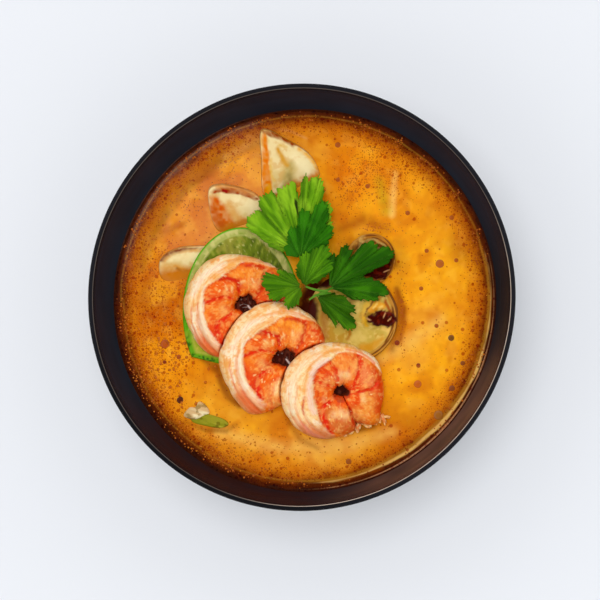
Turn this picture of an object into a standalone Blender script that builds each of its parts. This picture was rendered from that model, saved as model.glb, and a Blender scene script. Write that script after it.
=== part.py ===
"""A bowl of tom yum soup with its prawns, lime, mushrooms and coriander.

Metres, +Z up, the origin at the middle of the foot ring's flat underside. +Y is the far side of the bowl
as a diner sees it. The soup is one solid up to its level, with a pocket for each thing that sits in it.
"""

import math

import bmesh
import bpy
from mathutils import Matrix, Vector, bvhtree

MM = 0.001
GAP = 0.35 * MM  # between pieces that touch
SHARP_ANGLE = 40  # degrees between two faces, over which their edge is drawn sharp

# The bowl and the soup that drive the rest
BOWL_RADIUS = 90 * MM
BOWL_HEIGHT = 68 * MM
RIM_WIDTH = 2.1 * MM
SOUP_LEVEL = 49 * MM
TURNED_STEPS = 44  # a multiple of 4, so that the faceted rim is as wide both ways


def cleared_scene():
    for old in list(bpy.data.objects):
        bpy.data.objects.remove(old)


def collection(name):
    made = bpy.data.collections.new(name)
    bpy.context.scene.collection.children.link(made)
    return made


cleared_scene()
DISH = collection("tom_yum_soup")
CUTTERS = collection("cutters")


def material(name, hex_colour, roughness, metallic=0.0):
    """A Principled material from an sRGB hex colour."""
    channels = [int(hex_colour[i : i + 2], 16) / 255 for i in (0, 2, 4)]
    linear = [c / 12.92 if c <= 0.04045 else ((c + 0.055) / 1.055) ** 2.4 for c in channels]
    made = bpy.data.materials.new(name)
    made.use_nodes = True
    shader = made.node_tree.nodes["Principled BSDF"]
    shader.inputs["Base Color"].default_value = (*linear, 1)
    shader.inputs["Roughness"].default_value = roughness
    shader.inputs["Metallic"].default_value = metallic
    return made


def piece(name, bm, finish):
    """The bmesh as a smooth-shaded object of the dish, its faces turned outwards."""
    bmesh.ops.recalc_face_normals(bm, faces=bm.faces[:])
    if bm.calc_volume(signed=True) < 0:
        bmesh.ops.reverse_faces(bm, faces=bm.faces[:])
    mesh = bpy.data.meshes.new(name)
    bm.to_mesh(mesh)
    bm.free()
    mesh.shade_smooth()
    mesh.set_sharp_from_angle(angle=math.radians(SHARP_ANGLE))
    mesh.materials.append(finish)
    made = bpy.data.objects.new(name, mesh)
    DISH.objects.link(made)
    return made


def grown_cutter(body, growth):
    """A hidden copy of a piece, its skin moved out by the growth, to cut room for it."""
    mesh = body.data.copy()
    normals = [vert.normal.copy() for vert in mesh.vertices]
    for vert, normal in zip(mesh.vertices, normals):
        vert.co += normal * growth
    cutter = bpy.data.objects.new(body.name + "_cutter", mesh)
    cutter.hide_render = True
    cutter.display_type = "WIRE"
    CUTTERS.objects.link(cutter)
    return cutter


def cut(body, cutter):
    boolean = body.modifiers.new("room_for_" + cutter.name, "BOOLEAN")
    boolean.operation = "DIFFERENCE"
    boolean.object = cutter


def through(stations, at):
    """The value at a place on a smooth curve through (place, value) stations."""
    last = len(stations) - 2
    i = 0
    while i < last and at > stations[i + 1][0]:
        i += 1
    (x0, y0), (x1, y1) = stations[i], stations[i + 1]
    before, after = stations[max(i - 1, 0)], stations[min(i + 2, last + 1)]
    slope0 = (y1 - before[1]) / (x1 - before[0])
    slope1 = (after[1] - y0) / (after[0] - x0)
    f = min(max((at - x0) / (x1 - x0), 0), 1)
    run = (x1 - x0) * f * (1 - f)
    return y0 + (y1 - y0) * f * f * (3 - 2 * f) + run * (slope0 * (1 - f) - slope1 * f)


def bump(offset, width):
    """1 at no offset, falling to 0 over about the width each way."""
    return math.exp(-((2 * offset / width) ** 2))


# --- Bowl: a moulded black melamine bowl on a foot ring -------------------------------------------

FLOOR_INSIDE = 6.8 * MM
FLOOR_OUTSIDE = 4.5 * MM
FOOT_RADIUS = 40 * MM
FOOT_WIDTH = 3 * MM
FOOT_SLOPE = 0.5 * MM  # of each side of the foot ring, over its height
WALL_POWER = 1.73  # of the oval arc, where 2 would be an ellipse
INSIDE_STEPS = 7
OUTSIDE_STEPS = 6


def wall_height(radius, rim_radius, floor, top):
    """The height of a rounded wall at a radius: an oval arc from the floor's middle up to the rim."""
    rise = 1 - (1 - (radius / rim_radius) ** 2) ** (1 / WALL_POWER)
    return floor + (top - floor) * rise


def inside_height(radius):
    return wall_height(radius, BOWL_RADIUS - RIM_WIDTH, FLOOR_INSIDE, BOWL_HEIGHT - RIM_WIDTH / 2)


def outside_height(radius):
    return wall_height(radius, BOWL_RADIUS, FLOOR_OUTSIDE, BOWL_HEIGHT - RIM_WIDTH / 2)


def turned(name, profile, finish):
    """A profile of (radius, height) from the axis back to the axis, turned about Z."""
    mesh = bpy.data.meshes.new(name)
    points = [(radius, 0, height) for radius, height in profile]
    mesh.from_pydata(points, [(i, i + 1) for i in range(len(points) - 1)], [])
    made = bpy.data.objects.new(name, mesh)
    DISH.objects.link(made)
    screw = made.modifiers.new("turned", "SCREW")
    screw.steps = screw.render_steps = TURNED_STEPS
    screw.use_merge_vertices = True
    screw.merge_threshold = 0.01 * MM
    screw.use_smooth_shade = True
    mesh.materials.append(finish)
    return made


def inside_profile():
    """The inner wall from the middle of the floor up to the rim, with its points closer near the rim."""
    inner_rim = BOWL_RADIUS - RIM_WIDTH
    radii = [inner_rim * math.sin(math.pi / 2 * step / INSIDE_STEPS) for step in range(INSIDE_STEPS + 1)]
    return [(radius, inside_height(radius)) for radius in radii]


def bowl_profile():
    """Up the inner wall, over the half-round lip, down the outer wall and in round the foot ring."""
    lip_radius = RIM_WIDTH / 2
    lip = []
    for degrees in (135, 90, 45):
        turn = math.radians(degrees)
        across = BOWL_RADIUS - lip_radius + lip_radius * math.cos(turn)
        lip.append((across, BOWL_HEIGHT - lip_radius + lip_radius * math.sin(turn)))
    outside = []
    for step in range(OUTSIDE_STEPS, -1, -1):
        radius = FOOT_RADIUS + (BOWL_RADIUS - FOOT_RADIUS) * math.sin(math.pi / 2 * step / OUTSIDE_STEPS)
        outside.append((radius, outside_height(radius)))
    foot_inside = FOOT_RADIUS - FOOT_WIDTH
    foot = [
        (FOOT_RADIUS - FOOT_SLOPE, 0),
        (foot_inside, 0),
        (foot_inside - FOOT_SLOPE, outside_height(foot_inside)),
    ]
    return inside_profile() + lip + outside + foot + [(0, FLOOR_OUTSIDE)]


BLACK_MELAMINE = material("black_melamine", "1d1b20", 0.32)
turned("bowl", bowl_profile(), BLACK_MELAMINE)


# --- Soup: up to its level, with the film that climbs the wall ------------------------------------

FILM_CLIMB = 0.7 * MM  # up the wall
FILM_WIDTH = 1.8 * MM
WALL_STEP = 0.8 * GAP  # in and up from the wall, which leaves the gap square to it


def soup_profile():
    """Level on top, up the film at the wall, then down just inside the wall's own points."""
    wall = inside_profile()
    below = [point for point in wall if point[1] < SOUP_LEVEL]
    (r0, z0), (r1, z1) = below[-1], wall[len(below)]
    edge = r0 + (r1 - r0) * (SOUP_LEVEL - z0) / (z1 - z0)
    top = [(0, SOUP_LEVEL), (edge - FILM_WIDTH, SOUP_LEVEL), (edge - GAP, SOUP_LEVEL + FILM_CLIMB)]
    side = [(radius - WALL_STEP, height + WALL_STEP) for radius, height in reversed(below[1:])]
    return top + side + [(0, FLOOR_INSIDE + GAP)]


TOM_YUM_BROTH = material("tom_yum_broth", "e08f1c", 0.12)
soup = turned("soup", soup_profile(), TOM_YUM_BROTH)


# --- Prawns: peeled, split down the back and curled by cooking, lying on their sides --------------

PRAWN_HALF_HEIGHT = 7.6 * MM
TAIL_TAPER = 0.18  # of the height lost by the tail
SECTION_POWER = 0.9  # under 1 squares the section's corners a little
END_ROUNDING = 0.04  # of the length

# The creases between the segments, in degrees clockwise from +X
CREASES = (150, 192, 236, 295, 345)
CREASE_WIDTH = 13
CREASE_DEPTH = 1.2 * MM

# The split between the pale back and the flesh, in degrees round the section from straight out
SPLIT_PLACE = 52
SPLIT_WIDTH = 26
SPLIT_DEPTH = 1.7 * MM
SPLIT_FADES_FROM, SPLIT_FADES_OVER = 255, 60  # in degrees clockwise from +X

PRAWN_ROOM = 1.2 * GAP  # for the pieces round a prawn, past its vertices, as its facets fall inside them

# Each prawn's middle in mm, its hollow's radius in mm, where its head end and its tail are in degrees
# clockwise from +X, its tilt down towards a heading, and its outer edge as (degrees, radius in mm)
PRAWNS = (
    {
        "place": (-24.9, -1.9, 52.6), "hollow": 3.9, "start": 62, "end": 398, "tilt": 8, "heading": -55,
        "edge": ((62, 17.6), (92, 20.0), (112, 25.2), (126, 26.8), (160, 26.2), (180, 26.2), (205, 24.8),
                 (235, 23.8), (262, 21.0), (285, 19.8), (315, 20.2), (360, 18.3), (400, 17.0)),
    },
    {
        "place": (-8.6, -25.2, 54.0), "hollow": 3.9, "start": 62, "end": 398, "tilt": 10, "heading": -50,
        "edge": ((62, 18.0), (92, 20.8), (110, 25.8), (121, 28.0), (135, 27.2), (160, 26.6), (180, 27.0),
                 (205, 25.2), (245, 24.6), (285, 22.6), (320, 20.8), (360, 18.3), (400, 17.0)),
    },
    {
        "place": (16.0, -39.4, 54.2), "hollow": 2.3, "start": 69, "end": 420, "tilt": 9, "heading": -35,
        "edge": ((69, 17.4), (92, 20.0), (112, 22.2), (128, 23.7), (150, 25.1), (187, 25.0), (228, 22.6),
                 (263, 20.4), (300, 19.6), (318, 20.2), (351, 18.8), (384, 19.2), (402, 21.4), (420, 16.0)),
    },
)


def rounded_end(along):
    """The share of the full section left near either end of the body."""
    near = min(along, 1 - along) / END_ROUNDING
    return math.sqrt(1 - (1 - near) ** 2) if near < 1 else 1


def prawn_point(prawn, along, around):
    """A point of the body: along runs from head end to tail, around turns from outwards to upwards."""
    turn = prawn["start"] + (prawn["end"] - prawn["start"]) * along
    outer = through(prawn["edge"], turn) * MM
    inner = prawn["hollow"] * MM
    crease = sum(bump(turn - place, CREASE_WIDTH) for place in CREASES) * CREASE_DEPTH
    split_left = 1 - min(max((turn - SPLIT_FADES_FROM) / SPLIT_FADES_OVER, 0), 1)
    split = bump(math.degrees(around) - SPLIT_PLACE, SPLIT_WIDTH) * SPLIT_DEPTH * split_left
    taper = 1 - TAIL_TAPER * along
    half_width = ((outer - inner) / 2 - crease / 2) * rounded_end(along)
    half_height = (PRAWN_HALF_HEIGHT * taper - crease) * rounded_end(along)
    out = math.copysign(abs(math.cos(around)) ** SECTION_POWER, math.cos(around))
    up = math.copysign(abs(math.sin(around)) ** SECTION_POWER, math.sin(around))
    radius = (outer + inner) / 2 + out * (half_width - split)
    angle = -math.radians(turn)
    return Vector((radius * math.cos(angle), radius * math.sin(angle), up * (half_height - split)))


def leaning(place, tilt, heading):
    """A frame at the place in mm whose flat top runs down by the tilt towards the heading, both in degrees."""
    turn = math.radians(heading)
    axis = Vector((-math.sin(turn), math.cos(turn), 0))
    return Matrix.Translation(Vector(place) * MM) @ Matrix.Rotation(math.radians(tilt), 4, axis)


def prawn_body(prawn, around_steps=12, along_steps=24):
    bm = bmesh.new()
    bmesh.ops.create_uvsphere(bm, u_segments=around_steps, v_segments=along_steps, radius=1)
    frame = leaning(prawn["place"], prawn["tilt"], prawn["heading"])
    for vert in bm.verts:
        along = math.acos(min(max(vert.co.z, -1), 1)) / math.pi
        around = math.atan2(vert.co.y, vert.co.x)
        vert.co = frame @ prawn_point(prawn, along, around)
    return bm


COOKED_PRAWN = material("cooked_prawn", "ef7a3a", 0.35)
prawns = [piece(f"prawn_{i + 1}", prawn_body(prawn), COOKED_PRAWN) for i, prawn in enumerate(PRAWNS)]
prawn_cutters = [grown_cutter(prawn, PRAWN_ROOM) for prawn in prawns]
for prawn_below, cutter_above in zip(prawns, prawn_cutters[1:]):
    cut(prawn_below, cutter_above)


# --- Flat pieces: slices cut from an outline -------------------------------------------------------

SLICE_ROOM = 1.6 * GAP  # for the pieces round a flat one, past its vertices, as its softened rims fall inside


def closed_curve(points, steps):
    """Points evenly along a smooth closed curve (Catmull-Rom) through the outline's points."""
    made = []
    count = len(points)
    for step in range(steps):
        place = step * count / steps
        i = int(place)
        f = place - i
        p0, p1, p2, p3 = (Vector(points[(i + k) % count]) for k in (-1, 0, 1, 2))
        squared = (2 * p0 - 5 * p1 + 4 * p2 - p3) * f**2
        cubed = (3 * p1 - p0 - 3 * p2 + p3) * f**3
        made.append((2 * p1 + (p2 - p0) * f + squared + cubed) / 2)
    return made


RIM_ANGLE = 60  # degrees between a slice's side and its top, over which their edge is softened


def slab(outline, thickness, frame, steps=20, softened=0.8 * MM):
    """A slice with the outline in millimetres about its place, its top face through the frame's origin."""
    bm = bmesh.new()
    bmesh.ops.create_circle(bm, segments=steps, radius=1, cap_ends=True)
    bm.verts.ensure_lookup_table()
    ordered = sorted(bm.verts, key=lambda vert: math.atan2(vert.co.y, vert.co.x) % math.tau)
    for vert, place in zip(ordered, closed_curve(outline, steps)):
        vert.co = (place.x * MM, place.y * MM, 0)
    top = bm.faces[:]
    walls = bmesh.ops.extrude_face_region(bm, geom=top)["geom"]
    lowered = [item for item in walls if isinstance(item, bmesh.types.BMVert)]
    bmesh.ops.translate(bm, verts=lowered, vec=(0, 0, -thickness))
    bmesh.ops.recalc_face_normals(bm, faces=bm.faces[:])
    rims = [edge for edge in bm.edges if edge.calc_face_angle(0) > math.radians(RIM_ANGLE)]
    bmesh.ops.bevel(bm, geom=rims, offset=softened, segments=1, profile=0.5, affect="EDGES", material=-1)
    bmesh.ops.transform(bm, matrix=frame, verts=bm.verts[:])
    return bm


# --- Lime: a slice cut lengthwise, leaning out of the soup under the first prawn ------------------

LIME_CENTRE = (-26.4, -5.7, 50.6)
LIME_HALF_WIDTH, LIME_HALF_LENGTH = 25.5, 36.6
LIME_CUT = -21.5  # where its near end is cut across, from the centre, a quarter of its width in
LIME_CUT_SLANT = 0.25
LIME_STEPS = 24
LIME_THICKNESS = 5 * MM
LIME_TILT, LIME_HEADING = 6, -35


def lime_outline():
    """An oval with its near end cut off on a slant."""
    points = []
    for step in range(LIME_STEPS):
        angle = step * math.tau / LIME_STEPS
        x, y = LIME_HALF_WIDTH * math.cos(angle), LIME_HALF_LENGTH * math.sin(angle)
        cut_across = LIME_CUT - LIME_CUT_SLANT * (x + LIME_HALF_WIDTH / 2)
        points.append((x, max(y, cut_across)))
    return points


LIME = material("lime", "7ba33c", 0.4)
lime_frame = leaning(LIME_CENTRE, LIME_TILT, LIME_HEADING)
lime = piece("lime_slice", slab(lime_outline(), LIME_THICKNESS, lime_frame, LIME_STEPS), LIME)
lime_cutter = grown_cutter(lime, SLICE_ROOM)
for cutter in prawn_cutters[:2]:
    cut(lime, cutter)


# --- Mushroom slices: the cap's brown skin along the upper edge, sunk at the other end -------------

MUSHROOM_FLESH = material("mushroom_flesh", "ece0c4", 0.5)
SLICE_THICKNESS = 4.6 * MM

# Each slice's place in mm, its tilt down towards a heading, and its outline in mm about that place
MUSHROOM_SLICES = (
    {
        "place": (-5, 58, 52.6), "tilt": 20, "heading": -62,
        "outline": ((-12.4, 14.6), (-1.4, 10.2), (7.4, 4.6), (12.0, -2.4), (13.8, -10.6), (8, -19), (-4, -20),
                    (-11.8, -13), (-12.6, 0.5)),
    },
    {
        "place": (-29, 38, 51.6), "tilt": 22, "heading": -72,
        "outline": ((-11.6, 8.8), (-8.0, 11.2), (-1.0, 10.6), (8.6, 7.0), (12.5, 0), (8, -9), (-3, -11.5),
                    (-8.6, -8), (-11.2, 0)),
    },
    {
        "place": (-52, 14.5, 50.5), "tilt": 15, "heading": -80,
        "outline": ((-10.4, 2.6), (-8.4, 6.4), (-2, 8.2), (8.0, 8.4), (14, 3), (11, -6), (0, -8.5), (-8.6, -5)),
    },
)
slices = [
    piece(
        f"mushroom_slice_{i + 1}",
        slab(cap["outline"], SLICE_THICKNESS, leaning(cap["place"], cap["tilt"], cap["heading"])),
        MUSHROOM_FLESH,
    )
    for i, cap in enumerate(MUSHROOM_SLICES)
]
slice_cutters = [grown_cutter(cap, SLICE_ROOM) for cap in slices]
for cap in slices:
    cut(cap, lime_cutter)
    cut(cap, prawn_cutters[0])
cut(slices[0], slice_cutters[1])


# --- Straw mushrooms: halved, cut side up, with a hollow under the cap ----------------------------

STRAW_FLESH = material("straw_mushroom_flesh", "cdb878", 0.45)
STRAW_SKIN = material("straw_mushroom_skin", "7a5230", 0.5)
FACE_CROWN = 1.6 * MM  # how far the cut face rises above its rim
FACE_FLATNESS = 0.6  # under 1 keeps the crown flat in the middle and rounds it off at the rim
FACE_SPREAD = 0.75  # under 1 moves the face's rings out towards the rim
HOLLOW_WIDTH = 2.2  # of the bump pressed in, in its own half sizes
STRAW_ROOM = 1.3 * GAP  # for the pieces round a half, past its vertices, as its facets fall inside them

# Each half's middle, its half sizes, its hollow's middle from there with its half sizes and depth, all in
# mm, and its tilt down towards a heading
STRAW_MUSHROOMS = (
    {
        "place": (21.2, -8.4, 51.6), "half": (19.4, 19.4, 8.5), "tilt": 4, "heading": 15,
        "hollow": (11.6, 0.0), "hollow_half": (6.4, 4.4, 3.4), "finish": STRAW_FLESH,
    },
    {
        "place": (29.2, 16.6, 51.0), "half": (10.4, 11.0, 6.5), "tilt": 5, "heading": -60,
        "hollow": (0.6, -1.0), "hollow_half": (7.6, 7.8, 3.6), "finish": STRAW_SKIN,
    },
)


def straw_half(half_mushroom, segments=16, rings=8):
    """Half an egg, its cut face up and softly rounded, with the hollow pressed into that face."""
    bm = bmesh.new()
    bmesh.ops.create_uvsphere(bm, u_segments=segments, v_segments=rings, radius=1)
    rx, ry, depth = (size * MM for size in half_mushroom["half"])
    hx, hy = (size * MM for size in half_mushroom["hollow"])
    ax, ay, hollow_depth = (size * MM for size in half_mushroom["hollow_half"])
    for vert in bm.verts:
        on_face = vert.co.z > 0
        spread = math.hypot(vert.co.x, vert.co.y)
        moved = spread ** (FACE_SPREAD - 1) if on_face and spread > 1e-6 else 1
        x, y = vert.co.x * moved * rx, vert.co.y * moved * ry
        if on_face:
            inside = ((x - hx) / ax) ** 2 + ((y - hy) / ay) ** 2
            z = FACE_CROWN * vert.co.z**FACE_FLATNESS - hollow_depth * bump(inside, HOLLOW_WIDTH)
        else:
            z = vert.co.z * depth
        vert.co = (x, y, z)
    frame = leaning(half_mushroom["place"], half_mushroom["tilt"], half_mushroom["heading"])
    bmesh.ops.transform(bm, matrix=frame, verts=bm.verts[:])
    return bm


straws = [
    piece(f"straw_mushroom_{i + 1}", straw_half(half), half["finish"]) for i, half in enumerate(STRAW_MUSHROOMS)
]
straw_cutters = [grown_cutter(half, STRAW_ROOM) for half in straws]
for cutter in prawn_cutters[1:]:
    cut(straws[0], cutter)
cut(straws[1], straw_cutters[0])


# --- Small pieces afloat on the near side ----------------------------------------------------------

SCALLION_GREEN = material("scallion_green", "7f7a1c", 0.4)
MUSHROOM_BIT = ((-6.0, -2.2), (-2.6, 1.6), (2.4, 3.2), (5.2, 0.0), (3.2, -2.6), (-2, -3.6))
SCALLION_BIT = (
    (-9.0, 1.2), (-5.4, 3.0), (0, 2.2), (5.6, 0.2), (7.2, -2.0), (3.6, -3.4), (-3.0, -2.4), (-8, -1.0),
)

mushroom_bit = piece(
    "mushroom_bit",
    slab(MUSHROOM_BIT, 3 * MM, leaning((-45.4, -48.0, 50.4), 6, -60), steps=12, softened=0.6 * MM),
    MUSHROOM_FLESH,
)
scallion_bit = piece(
    "scallion_bit",
    slab(SCALLION_BIT, 1.8 * MM, leaning((-39.4, -52.0, 50.0), 4, 200), steps=16, softened=0.4 * MM),
    SCALLION_GREEN,
)
bit_cutters = [grown_cutter(bit, SLICE_ROOM) for bit in (mushroom_bit, scallion_bit)]
cut(scallion_bit, bit_cutters[0])

for cutter in prawn_cutters + [lime_cutter] + slice_cutters + straw_cutters + bit_cutters:
    cut(soup, cutter)


# --- Coriander: a sprig of five toothed leaves on one stem, laid over the rest ---------------------

LEAF_THICKNESS = 0.6 * MM
LEAF_CLEARANCE = 1.3 * MM
LEAF_BASE_RADIUS = 1.2 * MM
LEAF_ROWS = 3  # of faces from the base out to the edge
LEAF_DROOP = 1.5  # over 1 keeps the leaf level near its base and drops it towards its tips
TOOTH_DEPTH = 0.12  # of the reach
TOOTH_MEAN = 0.7  # of the teeth's own height, kept on the edge that is given
FOLDS = 3
FOLD_HEIGHT = 0.8 * MM
STEM_RADIUS = 0.8 * MM
STEM_ROUTE = ((-1.4, -1.8, 66.6), (1.6, 2.4, 66.4), (6.4, 1.6, 64.8), (11.6, 4.0, 62.6))
STEM_STEPS = 10

# Each leaf's base and the height of its tips in mm, its number of teeth, and its edge seen from the base
# as (degrees from +X, reach in mm)
LEAVES = (
    {
        "base": (-0.1, 18.2, 57.5), "tips": 56, "teeth": 15,
        "edge": ((15, 8), (34, 16), (48, 21), (60, 24), (70, 29.5), (80, 35.4), (87, 34.0), (92, 28.0),
                 (100, 32.0), (118, 30.6), (132, 31.4), (142, 28.0), (151, 27.5), (160, 17), (170, 9)),
    },
    {
        "base": (13.8, 5.6, 58.5), "tips": 54.5, "teeth": 14,
        "edge": ((-44, 8.0), (-34, 14.4), (-14, 20.0), (0, 22.0), (10, 19.0), (18, 17.0), (24, 27.4),
                 (34, 29.0), (46, 26.0), (56, 20.0), (63, 13.0), (72, 19.0), (84, 17.0), (98, 13.0), (112, 7)),
    },
    {
        "base": (8.6, -0.4, 61.5), "tips": 56.5, "teeth": 8,
        "edge": ((-76, 6), (-62, 12.0), (-48, 17.2), (-30, 16.4), (-12, 13.0), (6, 9.0), (22, 5)),
    },
    {
        "base": (2.2, 7.6, 61.5), "tips": 60, "teeth": 8,
        "edge": ((0, 6.0), (22, 11.5), (40, 14.0), (58, 16.4), (76, 12.8), (98, 10.5), (124, 7.0), (140, 5)),
    },
    {
        "base": (-1.4, 4.4, 64.5), "tips": 62.5, "teeth": 10,
        "edge": ((112, 7.5), (134, 11.6), (152, 15.4), (168, 16.2), (184, 14.8), (202, 11.4), (230, 8.8),
                 (250, 5)),
    },
)


def leaf_reach(leaf, degrees):
    """How far the leaf's edge is from its base, with the teeth cut into the edge."""
    edge = leaf["edge"]
    share = (degrees - edge[0][0]) / (edge[-1][0] - edge[0][0])
    tooth = abs(math.sin(math.pi * leaf["teeth"] * share))
    return through(edge, degrees) * MM * (1 + TOOTH_DEPTH * (tooth - TOOTH_MEAN))


def leaf_sheet(leaf):
    """The leaf as one open sheet of rows out from its base, before it is draped and thickened."""
    bm = bmesh.new()
    bmesh.ops.create_grid(bm, x_segments=LEAF_ROWS, y_segments=2 * leaf["teeth"], size=0.5)
    start, stop = leaf["edge"][0][0], leaf["edge"][-1][0]
    base = Vector(leaf["base"]) * MM
    for vert in bm.verts:
        out = vert.co.x + 0.5
        degrees = start + (stop - start) * (vert.co.y + 0.5)
        reach = LEAF_BASE_RADIUS + (leaf_reach(leaf, degrees) - LEAF_BASE_RADIUS) * out
        angle = math.radians(degrees)
        fold = FOLD_HEIGHT * out * math.cos(math.tau * FOLDS * (degrees - start) / (stop - start))
        height = base.z + (leaf["tips"] * MM - base.z) * out**LEAF_DROOP + fold
        vert.co = (base.x + reach * math.cos(angle), base.y + reach * math.sin(angle), height)
    return bm


def top_beneath(trees, point):
    """The highest surface of the pieces under a point, or nothing."""
    start = Vector((point.x, point.y, 2 * BOWL_HEIGHT))
    hits = (tree.ray_cast(start, Vector((0, 0, -1)))[0] for tree in trees)
    return max((hit.z for hit in hits if hit), default=0)


def draped(bm, trees, clearance):
    """Lifts each point of a sheet clear of what lies under it and its neighbours."""
    floor = {vert: top_beneath(trees, vert.co) for vert in bm.verts}
    for vert in bm.verts:
        around = [floor[edge.other_vert(vert)] for edge in vert.link_edges] + [floor[vert]]
        vert.co.z = max(vert.co.z, max(around) + clearance)


def surface_tree(made):
    graph = bpy.context.evaluated_depsgraph_get()
    return bvhtree.BVHTree.FromObject(made, graph)


CORIANDER_LEAF = material("coriander_leaf", "3f7a14", 0.45)
CORIANDER_STEM = material("coriander_stem", "7fa044", 0.4)
bpy.context.view_layer.update()
beneath = [surface_tree(made) for made in prawns + [lime] + slices + straws]
for i, leaf in enumerate(LEAVES):
    sheet = leaf_sheet(leaf)
    draped(sheet, beneath, LEAF_CLEARANCE)
    made = piece(f"coriander_leaf_{i + 1}", sheet, CORIANDER_LEAF)
    solidify = made.modifiers.new("leaf_thickness", "SOLIDIFY")
    solidify.thickness = LEAF_THICKNESS
    solidify.offset = 0
    bpy.context.view_layer.update()
    beneath.append(surface_tree(made))


def stem_body():
    """A round stem swept along its route, its lower end out of sight between the prawns."""
    bm = bmesh.new()
    bmesh.ops.create_uvsphere(bm, u_segments=6, v_segments=STEM_STEPS, radius=1)
    last = len(STEM_ROUTE) - 1
    step = 1 / (5 * STEM_STEPS)
    axes = [[(i / last, point[axis]) for i, point in enumerate(STEM_ROUTE)] for axis in range(3)]
    for vert in bm.verts:
        along = math.acos(min(max(vert.co.z, -1), 1)) / math.pi
        around = math.atan2(vert.co.y, vert.co.x)
        centre = Vector([through(axis, along) for axis in axes]) * MM
        ahead = Vector([through(axis, min(along + step, 1)) for axis in axes]) * MM
        behind = Vector([through(axis, max(along - step, 0)) for axis in axes]) * MM
        side = (ahead - behind).normalized().cross(Vector((0, 0, 1))).normalized()
        radius = STEM_RADIUS * rounded_end(along)
        vert.co = centre + (side * math.cos(around) + Vector((0, 0, math.sin(around)))) * radius
    return bm


piece("coriander_stem", stem_body(), CORIANDER_STEM)
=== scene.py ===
"""The looks of a bowl of tom yum soup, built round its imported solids.

The solids are in metres, +Z up, with the origin under the middle of the foot ring. Sizes here are in
millimetres until a piece is finished. +Y is the far side of the bowl as a diner sees it.
"""

import itertools
import math

import bmesh
import bpy
import numpy as np
from mathutils import Matrix, Vector, bvhtree


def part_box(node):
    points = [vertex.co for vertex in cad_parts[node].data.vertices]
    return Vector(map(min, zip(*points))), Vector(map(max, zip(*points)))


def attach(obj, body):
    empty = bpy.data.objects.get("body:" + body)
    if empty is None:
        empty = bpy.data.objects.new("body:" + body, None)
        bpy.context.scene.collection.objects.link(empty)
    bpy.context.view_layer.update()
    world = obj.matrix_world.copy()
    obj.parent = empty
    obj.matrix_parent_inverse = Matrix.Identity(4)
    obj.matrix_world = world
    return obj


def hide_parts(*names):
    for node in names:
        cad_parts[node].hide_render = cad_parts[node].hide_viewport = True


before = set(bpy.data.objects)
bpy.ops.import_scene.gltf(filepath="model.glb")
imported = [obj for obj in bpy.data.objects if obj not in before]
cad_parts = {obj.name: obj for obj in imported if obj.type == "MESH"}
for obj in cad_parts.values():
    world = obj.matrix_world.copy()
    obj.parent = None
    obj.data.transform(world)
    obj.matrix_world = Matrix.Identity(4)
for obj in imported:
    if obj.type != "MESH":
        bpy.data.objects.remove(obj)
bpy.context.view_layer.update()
MM = 0.001


# --- Bowl ------------------------------------------------------------------------------------------
# A black melamine bowl, pressed in a polished steel mould: one even body with a rounded wall, a narrow
# lip with a fine ridge along its inner edge where the mould closed, and a plain foot ring.

bowl_low, bowl_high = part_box("bowl")
BOWL_RADIUS = bowl_high[0] / MM
BOWL_HEIGHT = bowl_high[2] / MM
RIM_WIDTH = 2.1
FLOOR_INSIDE, FLOOR_OUTSIDE = 6.8, 4.5
FOOT_RADIUS, FOOT_WIDTH, FOOT_SLOPE = 40, 3, 0.5
WALL_POWER = 1.73  # of the wall's oval arc, where 2 would be an ellipse
BOWL_TURNS, WALL_STEPS, OUTSIDE_STEPS = 256, 64, 36


def wall_height(radius, rim_radius, floor):
    """The height of the rounded wall at a radius: an oval arc from the floor's middle up to the rim."""
    rise = 1 - (1 - min(radius / rim_radius, 1) ** 2) ** (1 / WALL_POWER)
    return floor + (BOWL_HEIGHT - RIM_WIDTH / 2 - floor) * rise


def inner_wall():
    """The inner wall from the floor's middle up to the rim, with its points closer near the rim."""
    rim = BOWL_RADIUS - RIM_WIDTH
    radii = [rim * math.sin(math.pi / 2 * step / WALL_STEPS) for step in range(WALL_STEPS + 1)]
    return [(radius, wall_height(radius, rim, FLOOR_INSIDE)) for radius in radii]


def bowl_profile():
    """The bowl's section: up the inner wall, over the ridge and the lip, down the outside and the foot."""
    lip_middle, lip_half = BOWL_RADIUS - RIM_WIDTH / 2, RIM_WIDTH / 2
    top = BOWL_HEIGHT - lip_half
    ridge = [(BOWL_RADIUS - RIM_WIDTH + 0.02, top + 0.45), (BOWL_RADIUS - RIM_WIDTH + 0.14, top + 0.62)]
    lip = []
    for degrees in range(135, -1, -15):
        turn = math.radians(degrees)
        lip.append((lip_middle + lip_half * math.cos(turn), top + lip_half * math.sin(turn)))
    outside = []
    for step in range(OUTSIDE_STEPS - 1, -1, -1):
        radius = FOOT_RADIUS + (BOWL_RADIUS - FOOT_RADIUS) * math.sin(math.pi / 2 * step / OUTSIDE_STEPS)
        outside.append((radius, wall_height(radius, BOWL_RADIUS, FLOOR_OUTSIDE)))
    inside_foot = FOOT_RADIUS - FOOT_WIDTH
    foot = [
        (FOOT_RADIUS - FOOT_SLOPE, 0.3),
        (FOOT_RADIUS - FOOT_SLOPE - 0.3, 0),
        (inside_foot + 0.3, 0),
        (inside_foot, 0.3),
        (inside_foot - FOOT_SLOPE, FLOOR_OUTSIDE - 0.4),
        (inside_foot - FOOT_SLOPE - 0.5, FLOOR_OUTSIDE),
    ]
    return inner_wall() + ridge + lip + outside + foot + [(0, FLOOR_OUTSIDE)]


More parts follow.
